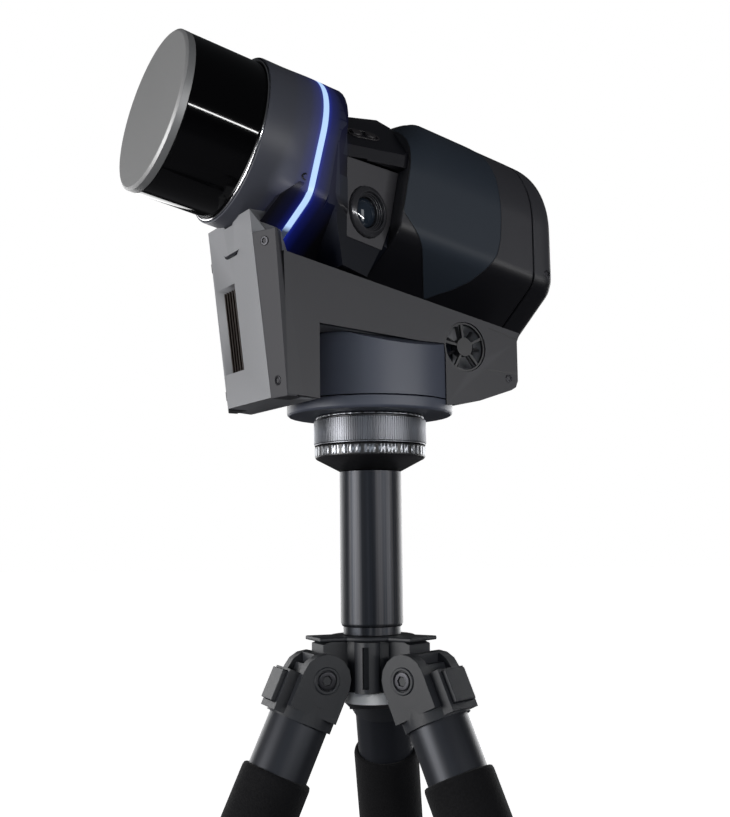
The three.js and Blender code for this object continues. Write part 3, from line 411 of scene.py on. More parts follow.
def grain(name, colour, spread, roughness, scale, bump,
          metallic=0.0, coat=0.0, coatRough=0.1, specular=0.5, wear=0.0):
    # moulded or painted surface: fine grain in height and roughness, slight cloudiness in colour
    f = Finish(name)
    cloud = f.noise(14, 3)
    fine = f.noise(scale, 2, 0.6)
    dark = tuple(c * (1 - spread) for c in colour)
    light = tuple(min(1, c * (1 + spread)) for c in colour)
    speck = f.ramp(fine, [(0.35, 0.0), (0.7, 1.0)])
    base = f.mix(speck * 0.25, f.mix(cloud, dark, light), light)
    if wear:
        base = f.mix(f.edgeWear() * wear, base, tuple(min(1, c * 2.2 + 0.03) for c in colour))
    f.set(Base_Color=base, Roughness=fine * (roughness * 0.3) + cloud * (roughness * 0.15) + roughness * 0.77)
    f.set(Metallic=metallic, Coat_Weight=coat, Coat_Roughness=coatRough, Specular_IOR_Level=specular)
    f.bump(fine, bump, 0.0002)
    return f


def brushed(name, colour, roughness, where, axisScale, strength=0.15, metallic=1.0):
    # metal with a fine lay: noise stretched along one direction of a place
    f = Finish(name)
    lay = f.node("ShaderNodeMapping", {}, {"Vector": f.placed(where), "Scale": axisScale})
    streak = f.noise(1.0, 3, 0.6, at=lay)
    cloud = f.noise(20, 2)
    f.set(Base_Color=f.mix(streak, tuple(c * 0.86 for c in colour), colour), Metallic=metallic)
    f.set(Roughness=streak * 0.12 + cloud * 0.05 + (roughness - 0.08))
    f.bump(streak, strength, 0.0001)
    return f


def drawnMetalPaintedStreaks():
    # drawn tube: upright streaks of light and dark in its colour, partly the tube's drawn lay and partly painted
    # reflections, over a semi-gloss black
    f = Finish("postMetal")
    along = f.node("ShaderNodeMapping", {}, {
        "Vector": f.objectCoords, "Location": tuple(-np.array(panAxis)), "Scale": (1, 1, 0.004)})
    wide, thin = f.noise(95, 2, 0.7, at=along), f.noise(520, 2, 0.6, at=along)
    # painted reflections: the light band of this ramp paints reflected streaks of light along the post
    tone = f.ramp(wide * 0.7 + thin * 0.3, [
        (0.36, (0.005, 0.006, 0.009)), (0.5, (0.018, 0.02, 0.025)),
        (0.6, (0.052, 0.052, 0.056)), (0.7, (0.014, 0.018, 0.028))])
    f.set(Base_Color=tone, Metallic=0.75, Roughness=thin * 0.2 + 0.3, Specular_IOR_Level=0.5)
    f.bump(thin, 0.12, 0.0002)
    return f


def glossBlack():
    f = Finish("glossBlack")
    smear = f.noise(9, 3)
    f.set(Base_Color=f.mix(smear, (0.0012, 0.0012, 0.0015), (0.002, 0.002, 0.0024)))
    f.set(Roughness=smear * 0.03 + 0.05, Specular_IOR_Level=0.3)
    return f


def lensGlass():
    # dark coated glass, a little blue in places
    f = Finish("lensGlass")
    f.set(Base_Color=f.mix(f.noise(120, 2), (0.004, 0.005, 0.008), (0.02, 0.03, 0.045)))
    f.set(Roughness=0.03, Coat_Weight=1.0, Coat_Roughness=0.02, Specular_IOR_Level=0.8)
    return f


def foamFinish():
    # closed-cell foam sleeve: small pits and a dull sheen
    f = Finish("foamBlack")
    cells = f.node("ShaderNodeTexVoronoi", {"feature": "F1"}, {
        "Vector": f.objectCoords, "Scale": 900.0}, "Distance")
    f.set(Base_Color=f.mix(f.noise(60, 3), (0.002, 0.002, 0.0026), (0.0045, 0.0045, 0.0055)))
    f.set(Roughness=cells * 0.2 + 0.75, Specular_IOR_Level=0.15, Sheen_Weight=0.04, Sheen_Roughness=0.5)
    f.bump(cells * 0.7 + f.noise(1600, 2) * 0.5, 0.55, 0.0004)
    return f


print("frame read:", len(nodes), "nodes")

cheekSlate = grain("cheekSlate", (0.022, 0.029, 0.04), 0.08, 0.55, 3000, 0.05, specular=0.25)
coverGrey = grain("coverGrey", (0.165, 0.168, 0.178), 0.06, 0.55, 2600, 0.22, wear=0.15)
# painted light: the facet is one piece with the side plate, but gets its own slightly lighter, less shiny grey to
# match how the facet is lit
facetPaintedLightGrey = grain("facetPaintedLightGrey", (0.032, 0.032, 0.037), 0.08, 0.55, 2400, 0.15, specular=0.3, wear=0.2)
plateGrey = grain("plateGrey", (0.026, 0.026, 0.031), 0.08, 0.55, 2400, 0.15, wear=0.2)
panelGrey = grain("panelGrey", (0.05, 0.049, 0.054), 0.08, 0.5, 2400, 0.12)
turretBlue = grain("turretBlue", (0.062, 0.07, 0.096), 0.1, 0.45, 2400, 0.08)
casting = grain("casting", (0.013, 0.0145, 0.018), 0.15, 0.5, 1500, 0.35, specular=0.35, wear=0.3)
rubber = grain("rubber", (0.012, 0.012, 0.013), 0.15, 0.75, 1200, 0.3, specular=0.3)
darkPlastic = grain("darkPlastic", (0.012, 0.012, 0.014), 0.15, 0.4, 1800, 0.08)
buttonPlastic = grain("buttonPlastic", (0.02, 0.018, 0.02), 0.15, 0.5, 1800, 0.08)
coneBlack = grain("coneBlack", (0.006, 0.006, 0.007), 0.2, 0.4, 1800, 0.05)
labelWhite = grain("labelWhite", (0.9, 0.9, 0.9), 0.03, 0.45, 1500, 0.05)
boardGreen = grain("boardGreen", (0.012, 0.1, 0.05), 0.2, 0.4, 900, 0.15)
finMetal = grain("finMetal", (0.03, 0.022, 0.018), 0.25, 0.4, 900, 0.1, metallic=0.6)
darkScrew = grain("darkScrew", (0.02, 0.02, 0.024), 0.2, 0.35, 1500, 0.1, metallic=0.7)
lensRim = grain("lensRim", (0.045, 0.045, 0.05), 0.1, 0.24, 1800, 0.03, metallic=0.4, coat=0.4, coatRough=0.08)
capSilver = brushed("capSilver", (0.3, 0.302, 0.305), 0.5, drumZ, (500, 500, 10), 0.05, metallic=0.55)
ringSilver = brushed("ringSilver", (0.86, 0.86, 0.88), 0.16, drumZ, (30, 30, 900), 0.03)
steel = brushed("steel", (0.55, 0.55, 0.56), 0.3, stand, (30, 30, 900), 0.1)
bandMetal = brushed("bandMetal", (0.2, 0.2, 0.21), 0.28, stand, (12, 12, 900), 0.06)
tickMetal = brushed("tickMetal", (0.26, 0.27, 0.29), 0.32, stand, (60, 60, 200), 0.05)
knurlMetal = brushed("knurlMetal", (0.16, 0.165, 0.18), 0.4, stand, (60, 60, 300), 0.1)
postMetal, windowBlack, glassDark, foamBlack = drawnMetalPaintedStreaks(), glossBlack(), lensGlass(), foamFinish()
print("materials ready")

print("making the sensor drum")
cap = dict(radius=46.4, thick=5.4, chamfer=1.3, rim=0.5, rimDrop=0.25, edge=0.3)
r, t, c, e = cap["radius"], cap["thick"], cap["chamfer"], cap["edge"]
profile = [(0, 0), (r - c - cap["rim"], 0), (r - c, -cap["rimDrop"]), (r, -c), (r, -t), (0, -t)]
obj = turned("sensorCap", profile, drumZ, [0, e, e, e, e, 0], fineFacets)
finishPiece(obj, capSilver, "head", "lidar_cap")

window = dict(radius=46.3, wall=2.4, start=5.7, end=53.9, edge=0.2)
r, w, s, e = window["radius"], window["wall"], window["start"], window["end"]
obj = ringBand("sensorWindow", drumZ, [(r - w, -e), (r, -e), (r, -s), (r - w, -s)], fineFacets, window["edge"])
finishPiece(obj, windowBlack, "head", "lidar_window")

trim = dict(inner=46.6, outer=48.0, front=47.6, back=50.2, step=0.1, stepAt=(0.7, 0.9), chamfer=0.4,
            slope=0.5, edge=0.12)
i, o, f, b, c = trim["inner"], trim["outer"], trim["front"], trim["back"], trim["chamfer"]
profile = [(i, -b), (o - trim["step"], -b), (o - trim["step"], -b + trim["stepAt"][0]),
           (o, -b + trim["stepAt"][1]), (o, -f - c), (o - c, -f), (i, -f - trim["slope"])]
obj = ringBand("trimRing", drumZ, profile, fineFacets, trim["edge"])
finishPiece(obj, ringSilver, "head", "lidar_trim_ring")

print("making the head")
ringLean = 0.042  # how far the light ring leans back, in u for each v
light = dict(start=80.9, width=3.4, lowEnd=-52.5, edge=0.35, glow=0.95)
# painted glow: shell surfaces near the light ring emit this blue, fading with distance from the ring
spill = dict(front=80.9, rear=84.4, strength=0.3, stops=[
    (0.0, (0.02, 0.045, 0.7)), (0.14, (0.008, 0.016, 0.25)), (0.45, (0.001, 0.003, 0.05)), (1.0, (0, 0, 0))])


def shellFinish(name, base, underShade, spillFrom, spillReach):
    # shell grain with a painted blue glow that fades away from the light ring over the reach, which is negative
    # forwards, and painted shade that darkens the underside below v = -30 if a shade colour is given
    f = grain(name, base, 0.1, 0.42, 2600, 0.12, specular=0.28)
    u, y, v = f.parts(f.placed(drum))
    fade = (u - v * ringLean - spillFrom * mm) * (1 / (spillReach * mm))
    # painted glow: emission colour that fades away from the light ring
    f.set(Emission_Color=f.ramp(fade, spill["stops"]), Emission_Strength=spill["strength"])
    if underShade:
        # painted shade: below v = -30 the colour turns to the darker shade colour, for faces that turn downwards
        painted = Sock(f, f.shader.inputs["Base Color"].links[0].from_socket)
        f.set(Base_Color=f.mix(f.ramp((v * -1 - 0.030) * 220), painted, underShade))
    return f


def lightFinish():
    # the glowing ring, whose light guide ends above the keel
    f = Finish("lightBlue")
    tone = f.noise(25, 1)
    u, y, v = f.parts(f.placed(drum))
    lit = f.ramp((v - light["lowEnd"] * mm) * 400)
    f.set(Base_Color=f.mix(tone, (0.1, 0.14, 0.22), (0.14, 0.18, 0.26)), Roughness=0.35)
    f.set(Emission_Color=f.mix(lit, (0.0, 0.0, 0.01), f.mix(tone, (0.42, 0.62, 1.0), (0.5, 0.7, 1.0))))
    f.set(Emission_Strength=light["glow"])
    return f


collarFinish = shellFinish("collarFinish", (0.06, 0.063, 0.078), None, spill["front"], -18)
# where a finish gets a second colour, that colour is painted shade for its underside
bayFinish = shellFinish("bayFinish", (0.007, 0.007, 0.01), (0.004, 0.005, 0.009), spill["rear"], 18)
collarBackFinish = shellFinish("collarBackFinish", (0.022, 0.024, 0.032), (0.005, 0.005, 0.008), spill["rear"], 17)
# painted shade: the belly is the same shell as the collar, given a near-black colour for the shade on its downward
# faces
bellyShadeFinish = shellFinish("bellyShadeFinish", (0.006, 0.006, 0.01), None, spill["front"], -12)
rearFinish = shellFinish("rearFinish", (0.034, 0.034, 0.039), (0.006, 0.006, 0.008), spill["rear"], 16)

shell = dict(half=50.0, side=-37.0, keel=6.35, drop=-67.0, crease=13.0, keelEdge=3)


def shellSection(grow=0.0, crease=shell["crease"], top=None):
    # once round as (y, v): half circle, straight sides, rounded crease, slanted belly and flat keel;
    # with top given, the half circle is left out and the sides end level there
    half, side = shell["half"] + grow, shell["side"] - grow * 0.3
    keel, drop, edge = shell["keel"], shell["drop"] - grow, shell["keelEdge"]
    lower = [(half, 0), (half, side), (keel, drop), (-keel, drop), (-half, side), (-half, 0)]
    line = rounded(lower, [0, crease, edge, edge, crease, 0], 9)
    if top is not None:
        return np.concatenate([[(half, top)], line[1:-1], [(-half, top)]])
    a = np.linspace(pi, 0, 49)[1:-1]
    return np.concatenate([line, np.stack([half * np.cos(a), half * np.sin(a)], -1)])


def bar(name, section, front, rear, rows=2, taper=None):
    # carries a section along u between two end surfaces; front and rear give u at each (y, v), and
    # taper moves the (y, v) of each point
    y, v = section[:, 0], section[:, 1]
    uf, ur = front(y, v), rear(y, v)
    t = np.linspace(0, 1, rows)[:, None]
    u = uf * (1 - t) + ur * t
    yy, vv = np.broadcast_to(y, u.shape), np.broadcast_to(v, u.shape)
    if taper:
        yy, vv = taper(u, yy, vv)
    n, m = u.shape
    faces = gridFaces(n, m, False, True).tolist() + [list(range(m))[::-1], list(range((n - 1) * m, n * m))]
    return meshFrom(name, np.stack([u, yy, vv], -1), faces, drum, 30)


def level(u):
    return lambda y, v: np.full_like(v, u)


def leaned(u):
    # parallel to the light ring
    return lambda y, v: u + ringLean * v


def plumb(x):
    # the head's upright plane at x
    return lambda y, v: (x - drumFront[0] - v * sinTilt) / cosTilt


nose = dict(radius=49.4, lip=0.45, start=48.6, seat=51.0, mouth=48.3, end=80.6, hole=46.6, floor=54.3,
            wallFrom=56, outFrom=60, outOver=19, leanOver=20.6, fadeAt=137, fadeOver=12)
radius, lip, start, mouth, seat = (nose[k] for k in ("radius", "lip", "start", "mouth", "seat"))
profile = [(0.0, nose["floor"]), (nose["hole"], nose["floor"]), (nose["hole"], seat), (mouth, seat),
           (mouth, start + lip), (mouth + lip * 0.5, start), (radius - lip, start),
           (radius - 0.1, start + 0.25), (radius, start + lip * 1.6)]
profile += [(radius, q) for q in np.linspace(nose["wallFrom"], nose["end"], 20)] + [(0.0, nose["end"])]
r, u = np.array(profile)[:, 0][:, None], np.array(profile)[:, 1][:, None]
a = np.linspace(0, 2 * pi, fineFacets, endpoint=False)
# towards the rear the round wall grows out to the shell's flat sides, by half / sin(angle), and the
# growth fades out below the crease
downAngle = np.degrees(np.arccos(np.cos(a)))
reach = np.where(downAngle > 90, shell["half"] / np.maximum(np.abs(np.sin(a)), 0.3), shell["half"]) - radius
fade = np.clip((nose["fadeAt"] - downAngle) / nose["fadeOver"], 0, 1)
grown = np.clip((u - nose["outFrom"]) / nose["outOver"], 0, 1)
grown = grown**2 * (3 - 2 * grown)
r = r + np.where(r > radius - 0.1 + tiny, grown * reach * fade, 0)
yy, vv = r * np.sin(a), r * np.cos(a)
uu = u + ringLean * vv * np.clip((u - nose["outFrom"]) / nose["leanOver"], 0, 1)
obj = gridMesh("noseCollar", np.stack([uu, yy, vv], -1), drum, closeM=True, smooth=30)
finishPiece(obj, collarFinish, "head", "nose_housing")

belly = dict(inset=0.12, crease=11, top=-31, edgeU=64.3, edgeV=41.8, slope=0.855, ends=(62, 79.4), edge=0.6)


def bellyFront(y, v):
    return np.clip(belly["edgeU"] + belly["slope"] * (v + belly["edgeV"]), *belly["ends"])


section = shellSection(-belly["inset"], belly["crease"], belly["top"])
obj = edged(bar("noseBelly", section, bellyFront, leaned(nose["end"])), belly["edge"])
finishPiece(obj, bellyShadeFinish, "head", "nose_housing")

obj = bar("lightBand", shellSection(), leaned(light["start"]), leaned(light["start"] + light["width"]))
finishPiece(edged(obj, light["edge"]), lightFinish(), "head", "light_ring")

lookTurn = math.radians(15.0)  # how far each camera looks round to the front
collar = dict(front=84.6, rear=-42.3, cutFrom=-49.6, cutLength=13.6, cutAt=50.3, edge=0.8)
obj = bar("collarBack", shellSection(), leaned(collar["front"]), plumb(collar["rear"]))
x0, x1, y0 = collar["cutFrom"], collar["cutFrom"] + collar["cutLength"], collar["cutAt"]
outline = [(x0, y0), (x1, y0 - collar["cutLength"] * math.tan(lookTurn)), (x1, 70), (x0, 70)]
carve(obj, *(slab("bandTool", [(x, sign * y) for x, y in outline], 0, 159, head) for side, sign in bothSides))
finishPiece(edged(obj, collar["edge"]), collarBackFinish, "head", "main_shell")

bay = dict(start=92.0, end=140.1, edge=0.8)
outline = [(bay["start"], -60), (bay["end"], -60), (bay["end"], 60), (bay["start"], 60)]
obj = carve(copied("cameraBay", "main_shell"), slab("slabTool", outline, -80, 70, drum), how="INTERSECT")
finishPiece(edged(obj, bay["edge"]), bayFinish, "head", "main_shell")

rear = dict(start=140.2, end=88.2, crownDrop=0.245, crownLength=17, crownPower=1.6, rows=22, edge=0.9)


def crown(u, y, v):
    # above the axis the height starts lower by crownDrop, which fades out over crownLength
    fade = np.clip(1 - (u - rear["start"]) / rear["crownLength"], 0, 1) ** rear["crownPower"]
    return y, np.where(v > 0, v * (1 - rear["crownDrop"] * fade), v)


obj = bar("rearShell", shellSection(), level(rear["start"]), plumb(rear["end"]), rear["rows"], crown)
finishPiece(edged(obj, rear["edge"]), rearFinish, "head", "main_shell")

cover = dict(start=88.9, end=104.9, inset=0.1, roundFrom=93.0, roundOver=12.0, shrink=0.12, power=2.6,
             keelShare=0.35, rows=26, edge=0.7)


def domed(u, y, v):
    # the section shrinks towards the back along a quarter of a superellipse, less so under the sides
    t = np.clip((drumFront[0] + u * cosTilt + v * sinTilt - cover["roundFrom"]) / cover["roundOver"], 0, 1)
    k = 1 - cover["shrink"] * (1 - np.clip(1 - t ** cover["power"], 0, 1) ** (1 / cover["power"]))
    return y * k, np.where(v > shell["side"], v * k, v * (1 - (1 - k) * cover["keelShare"]))


obj = bar("rearCover", shellSection(-cover["inset"]), plumb(cover["start"]), plumb(cover["end"]),
          cover["rows"], domed)
finishPiece(edged(obj, cover["edge"]), rearFinish, "head", "rear_cap")

# the slate panel lies on the shell between a front and a rear edge, given as (v, u)
cheek = dict(proud=0.35, thick=1.8, top=46.0, bottom=-59.0, rows=90, columns=60, edge=0.4)
cheek["rearEdge"] = [(-59, 183), (-56, 187), (-52, 194), (-46, 201), (-38, 205), (-29, 209), (-19, 210),
                     (-4, 208), (9, 205), (21, 203), (34, 200), (40, 196), (46, 186)]
cheek["frontEdge"] = [(-59, 182.3), (-25, 140.6), (46, 140.6)]
gasket = dict(wider=0.55, deeper=0.3, thick=1.2)
section = shellSection(cheek["proud"])
section = section[section[:, 0] > 5]
section = section[np.argsort(section[:, 1])]
arc = np.concatenate([[0], np.cumsum(np.linalg.norm(np.diff(section, axis=0), axis=1))])
ends = (np.interp(cheek[k], section[:, 1], arc) for k in ("bottom", "top"))
arcs = np.linspace(*ends, cheek["rows"])
cheekY, cheekV = np.interp(arcs, arc, section[:, 0]), np.interp(arcs, arc, section[:, 1])
cheekFront, cheekRear = (np.interp(cheekV, *np.array(cheek[k], float).T) for k in ("frontEdge", "rearEdge"))

column = dict(at=-79.4, lean=-0.1275, half=27.9)  # the front block's upright edge: x = at + lean z
facet = dict(width=7, narrow=(2, 0.047), out=43, low=2.9, high=94.1, deep=12, deepAt=38.5, edge=0.5)
plate = dict(inner=39.1, outer=43.3, low=-5, high=100, rear=95, edge=0.45)
seams = dict(ends=((57.5, 52.0, 79.2, 46.9), (55.0, 26.6, 78.2, 25.9)), half=0.45, low=42.6, high=43.08)
screws = dict(facet=(2.7, 0.35, 1.3, 1.0), other=(2.3, 0.35, 1.2, 1.0), heights=(88.0, 12.0))


def columnX(z):
    return column["at"] + column["lean"] * z


def facetX(z, sign):
    # the facet's outer edge; on the right it narrows downwards
    base, grow = facet["narrow"]
    return columnX(z) + (base + grow * z if sign < 0 else facet["width"])


def addCheek(name, side, sign, wider, deeper, thick, finish):
    # (u, y, v) over columns and rows, u going straight from the front edge to the rear one
    t = np.linspace(0, 1, cheek["columns"])[None, :]
    u = (cheekFront[:, None] - wider) * (1 - t) + (cheekRear[:, None] + wider) * t
    yy = sign * cheekY[:, None] * (1 - deeper / 50) * np.ones_like(u)
    yy, vv = crown(u, yy, cheekV[:, None] * np.ones_like(u))
    panel = gridMesh(f"{name}_{side}", np.stack([u, yy, vv], -1), drum, smooth=50)
    middle = panel.data.polygons[len(panel.data.polygons) // 2]
    if middle.normal.dot(Vector(drum[:3, 1] * sign)) < 0:  # it faces outwards before it gets its wall
        panel.data.flip_normals()
    wall = panel.modifiers.new("wall", "SOLIDIFY")
    wall.thickness, wall.offset = thick * mm, -1
    if name == "cheekPanel":
        addBevel(panel, cheek["edge"], 2, 50)
    finishPiece(panel, finish, "head", f"cheek_panel_{side}")


def addPlate(side, sign):
    # the flat part of the side plate, cut out from behind the slanted facet
    low, high = plate["low"], plate["high"]
    outline = [(facetX(low, sign), low), (plate["rear"], low), (plate["rear"], high), (facetX(high, sign), high)]
    tool = slab("plateTool", outline, sign * plate["inner"], sign * plate["outer"], head, upright=True)
    obj = carve(copied(f"sidePlate_{side}", f"side_plate_{side}"), tool, how="INTERSECT")
    finishPiece(edged(obj, plate["edge"]), plateGrey, "head", f"side_plate_{side}")


def addFacet(side, sign):
    # the slanted face between the front block and the side plate, five corners low and five high
    ring = []
    for z, edgeBack in ((facet["low"], 6), (facet["high"], 1.6)):
        x, out = columnX(z), facetX(z, sign)
        ring.append([(x + 0.04, sign * column["half"], z), (out, sign * facet["out"], z),
                     (out + edgeBack, sign * (facet["out"] - 0.03), z),
                     (x + facet["deep"], sign * facet["deepAt"], z), (x + facet["deep"], sign * column["half"], z)])
    faces = gridFaces(2, 5, False, True).tolist() + [[4, 3, 2, 1, 0], [5, 6, 7, 8, 9]]
    obj = edged(meshFrom(f"cornerFacet_{side}", np.array(ring), faces, head), facet["edge"])
    finishPiece(obj, facetPaintedLightGrey, "head", f"side_plate_{side}")


def addSeams(side, sign):
    half = seams["half"]
    for i, (x0, z0, x1, z1) in enumerate(seams["ends"]):
        outline = rounded([(x0, z0 - half), (x1, z1 - half), (x1, z1 + half), (x0, z0 + half)], 0.3)
        strip = slab(f"panelSeam_{side}_{i}", outline, sign * seams["low"], sign * seams["high"], head, upright=True)
        finishPiece(strip, darkPlastic, "head")


def addScrews(side, sign):
    for i, z in enumerate(screws["heights"]):
        across = np.array([facetX(z, sign) - columnX(z), sign * 15, 0])
        out = np.cross(across, (columnX(1) - columnX(0), 0, 1)) * -sign
        spot = pointIn(head, (columnX(z) + facetX(z, sign)) / 2, sign * 35.5, z)
        where = place(spot, head[:3, :3] @ across, head[:3, :3] @ out)
        finishPiece(boltHead(f"facetScrew_{side}_{i}", where, *screws["facet"]), darkScrew, "head")
    for name, spot in (("plateScrew", pointIn(head, 72.2, sign * 43, 22.5)),
                       ("coverScrew", pointIn(drum, 248.7, sign * 49.6, -28.5)),
                       ("collarScrew", pointIn(drum, 76.6, sign * 49.6, -27.5))):
        where = place(spot, head[:3, 0], head[:3, 1] * sign)
        finishPiece(boltHead(f"{name}_{side}", where, *screws["other"]), darkScrew, "head")


for side, sign in bothSides:
    addCheek("cheekPanel", side, sign, 0.0, 0.0, cheek["thick"], cheekSlate)
    addCheek("cheekGasket", side, sign, gasket["wider"], gasket["deeper"], gasket["thick"], darkPlastic)
    carry(f"cameraPlate_{side}", f"camera_panel_{side}", 0.4, 2, panelGrey, "head")
    addPlate(side, sign)
    addFacet(side, sign)
    addSeams(side, sign)
    addScrews(side, sign)

finishPiece(copied("baseBlock", "base_frame", flat=0), coverGrey, "head", "base_frame")
carry("ventFins", "heat_sink", 0.1, 1, finMetal, "head")
carry("fanGuard", "fan_grille", 0.25, 2, darkPlastic, "head")
fanGap = 0.3  # keeps the blades clear of the guard
blades = edged(copied("fanBlades", "fan_impeller"), 0.15, 2)
blades.data.transform(Matrix.Translation(Vector(joints["fan_spin"]["axis"]) * -fanGap * mm))
finishPiece(blades, darkPlastic, "fan", "fan_impeller")
carry("powerKey", "power_button", 0.3, 3, buttonPlastic, "power_key")
carry("recordKey", "record_button", 0.3, 3, buttonPlastic, "record_key")

# a rim round both keys: a small ellipse carried along a long rounded outline
keyRim = dict(longer=0.4, half=5.0, height=1.5, wide=0.7, tall=0.45, steps=72, around=16)
keyOut = -np.array(joints["power_press"]["axis"], float)
keySpots = [np.array((b[0] + b[1]) / 2) for b in (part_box("power_button"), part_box("record_button"))]
straight = np.linalg.norm(keySpots[1] - keySpots[0]) / mm / 2 + keyRim["longer"]
a = (np.arange(keyRim["steps"]) + 0.5) * (2 * pi / keyRim["steps"])
out = np.stack([np.cos(a), np.sin(a)], -1)
line = out * keyRim["half"] + np.stack([np.sign(out[:, 0]) * straight, np.zeros_like(a)], -1)
t = np.linspace(0, 2 * pi, keyRim["around"], endpoint=False)
rimXY = line[:, None, :] + out[:, None, :] * (keyRim["wide"] * np.cos(t))[None, :, None]
rimZ = np.broadcast_to((keyRim["tall"] * np.sin(t) + keyRim["height"])[None, :, None], (len(a), len(t), 1))
where = place((keySpots[0] + keySpots[1]) / 2, head[:3, 0], keyOut)
obj = gridMesh("keyRim", np.concatenate([rimXY, rimZ], -1), where, closeN=True, closeM=True, smooth=60)
finishPiece(obj, buttonPlastic, "head")

carry("turretDrum", "turret_drum", 0.8, 3, turretBlue, "head")
carry("lidarBase", "lidar_base", 0.2, 1, darkPlastic, "head")
carry("lidarRotor", "lidar_rotor", 0.2, 1, darkPlastic, "lidar_spinner")
carry("mainBoard", "main_board", 0.1, 1, boardGreen, "head")
carry("batteryPack", "battery_pack", 0.6, 2, darkPlastic, "head")

print("making the stand")
carry("baseFlange", "base_flange", 0.5, 3, turretBlue, "stand")
carry("panBearing", "pan_bearing", 0.2, 1, steel, "stand")
carry("panMotor", "pan_motor", 0.3, 2, darkPlastic, "stand")
carry("adapterCone", "adapter_cone", 0.4, 3, coneBlack, "stand")
carry("post", "post", 0.4, 3, postMetal, "stand")
carry("apexPlate", "apex_plate", 0.8, 3, casting, "stand")
carry("apexCasting", "apex", 1.1, 3, casting, "stand")
carry("centreKnob", "centre_knob", 0.6, 3, darkPlastic, "knob")

tube = dict(radius=17.3, bore=14.7, top=-20.3, bottom=-512, edge=0.3, facets=72)
grip = dict(top=-56.0, bottom=-292.0, end=[(17.35, 0.2), (18.6, 0.0), (19.7, 0.6), (20.2, 2.4)], edge=0.5)
for name in legNames:
    where = legPlace(name)
    tubeGrey = brushed("tubeGrey", (0.018, 0.02, 0.026), 0.42, where, (900, 900, 12), 0.05, metallic=0.5)
    carry(f"shoulder_{name}", f"shoulder_{name}", 0.8, 3, casting, f"leg_{name}")
    carry(f"angleTab_{name}", f"angle_tab_{name}", 0.5, 3, casting, f"tab_{name}")
    r, b, high, low = tube["radius"], tube["bore"], tube["top"], tube["bottom"]
    obj = turned(f"upperTube_{name}", [(b, high), (r, high), (r, low), (b, low), (b, high)], where,
                 tube["edge"], tube["facets"])
    finishPiece(obj, tubeGrey, f"leg_{name}", f"upper_tube_{name}")
    profile = [(r, grip["top"] - d) for r, d in grip["end"]]
    profile += [(profile[-1][0], (grip["top"] + grip["bottom"]) / 2)]
    profile += [(r, grip["bottom"] + d) for r, d in grip["end"][::-1]]
    foamPiece = turned(f"foamGrip_{name}", profile + profile[:1], where, grip["edge"])
    finishPiece(foamPiece, foamBlack, f"leg_{name}", f"foam_grip_{name}")
    carry(f"twistLock_{name}", f"twist_lock_{name}", 0.5, 3, rubber, f"lock_{name}")
    carry(f"lowerTube_{name}", f"lower_tube_{name}", 0.2, 2, tubeGrey, f"lower_leg_{name}")
    carry(f"foot_{name}", f"foot_{name}", 0.6, 3, rubber, f"lower_leg_{name}")

print("making the small stand parts")
hinge = dict(reach=18.5, bolt=(5.2, 0.9, 2.4, 1.4), facets=64,
             collar=[(5.6, -0.4), (7.6, -0.4), (7.6, 0.5), (7.1, 0.9), (6.0, 0.9), (5.6, 0.5)])
for name in legNames:
    where = legPlace(name)
    for sign, tag in ((-1, "a"), (1, "b")):
        out = where[:3, 1] * sign
        boltAt = place(where[:3, 3] + out * hinge["reach"], where[:3, 0], out)
        obj = ringBand(f"hingeCollar_{name}_{tag}", boltAt, hinge["collar"], hinge["facets"])
        finishPiece(obj, casting, f"leg_{name}")
        obj = boltHead(f"hingeBolt_{name}_{tag}", boltAt, *hinge["bolt"])
        finishPiece(obj, darkScrew, f"leg_{name}")


def cuff(inner, outer, low, high):
    # the four corners of a plain band
    return [(inner, low), (outer, low), (outer, high), (inner, high)]


obj = ringBand("labelBand", stand, cuff(17.12 - 0.6, 17.12, -166.2, -159.6), radius=0.05)
finishPiece(obj, labelWhite, "knob")

# toothed bands: radius, low, high, number of teeth, depth and the share of each pitch that is tooth
knurl = dict(ring=(33.45, -16.9, -2.6, 150, 0.35, 0.5), band=(33.15, -24.2, -18.7, 48, 0.3, 0.3),
             top=(32.2, -1.7, -0.35, 48, 0.3, 0.3))
obj = toothed("ringKnurl", stand, *knurl["ring"])
finishPiece(obj, knurlMetal, "release_ring", "locking_ring")
obj = ringBand("ringEdges", stand, cuff(31.2, 33.1, -17.6, -16.9))
finishPiece(obj, knurlMetal, "release_ring")
obj = ringBand("ringCore", stand, cuff(26.5, 31.6, -17.4, -1.9))
finishPiece(obj, bandMetal, "release_ring", "locking_ring")
finishPiece(toothed("bandTicks", stand, *knurl["band"]), tickMetal, "stand")
finishPiece(toothed("topTicks", stand, *knurl["top"]), tickMetal, "stand")

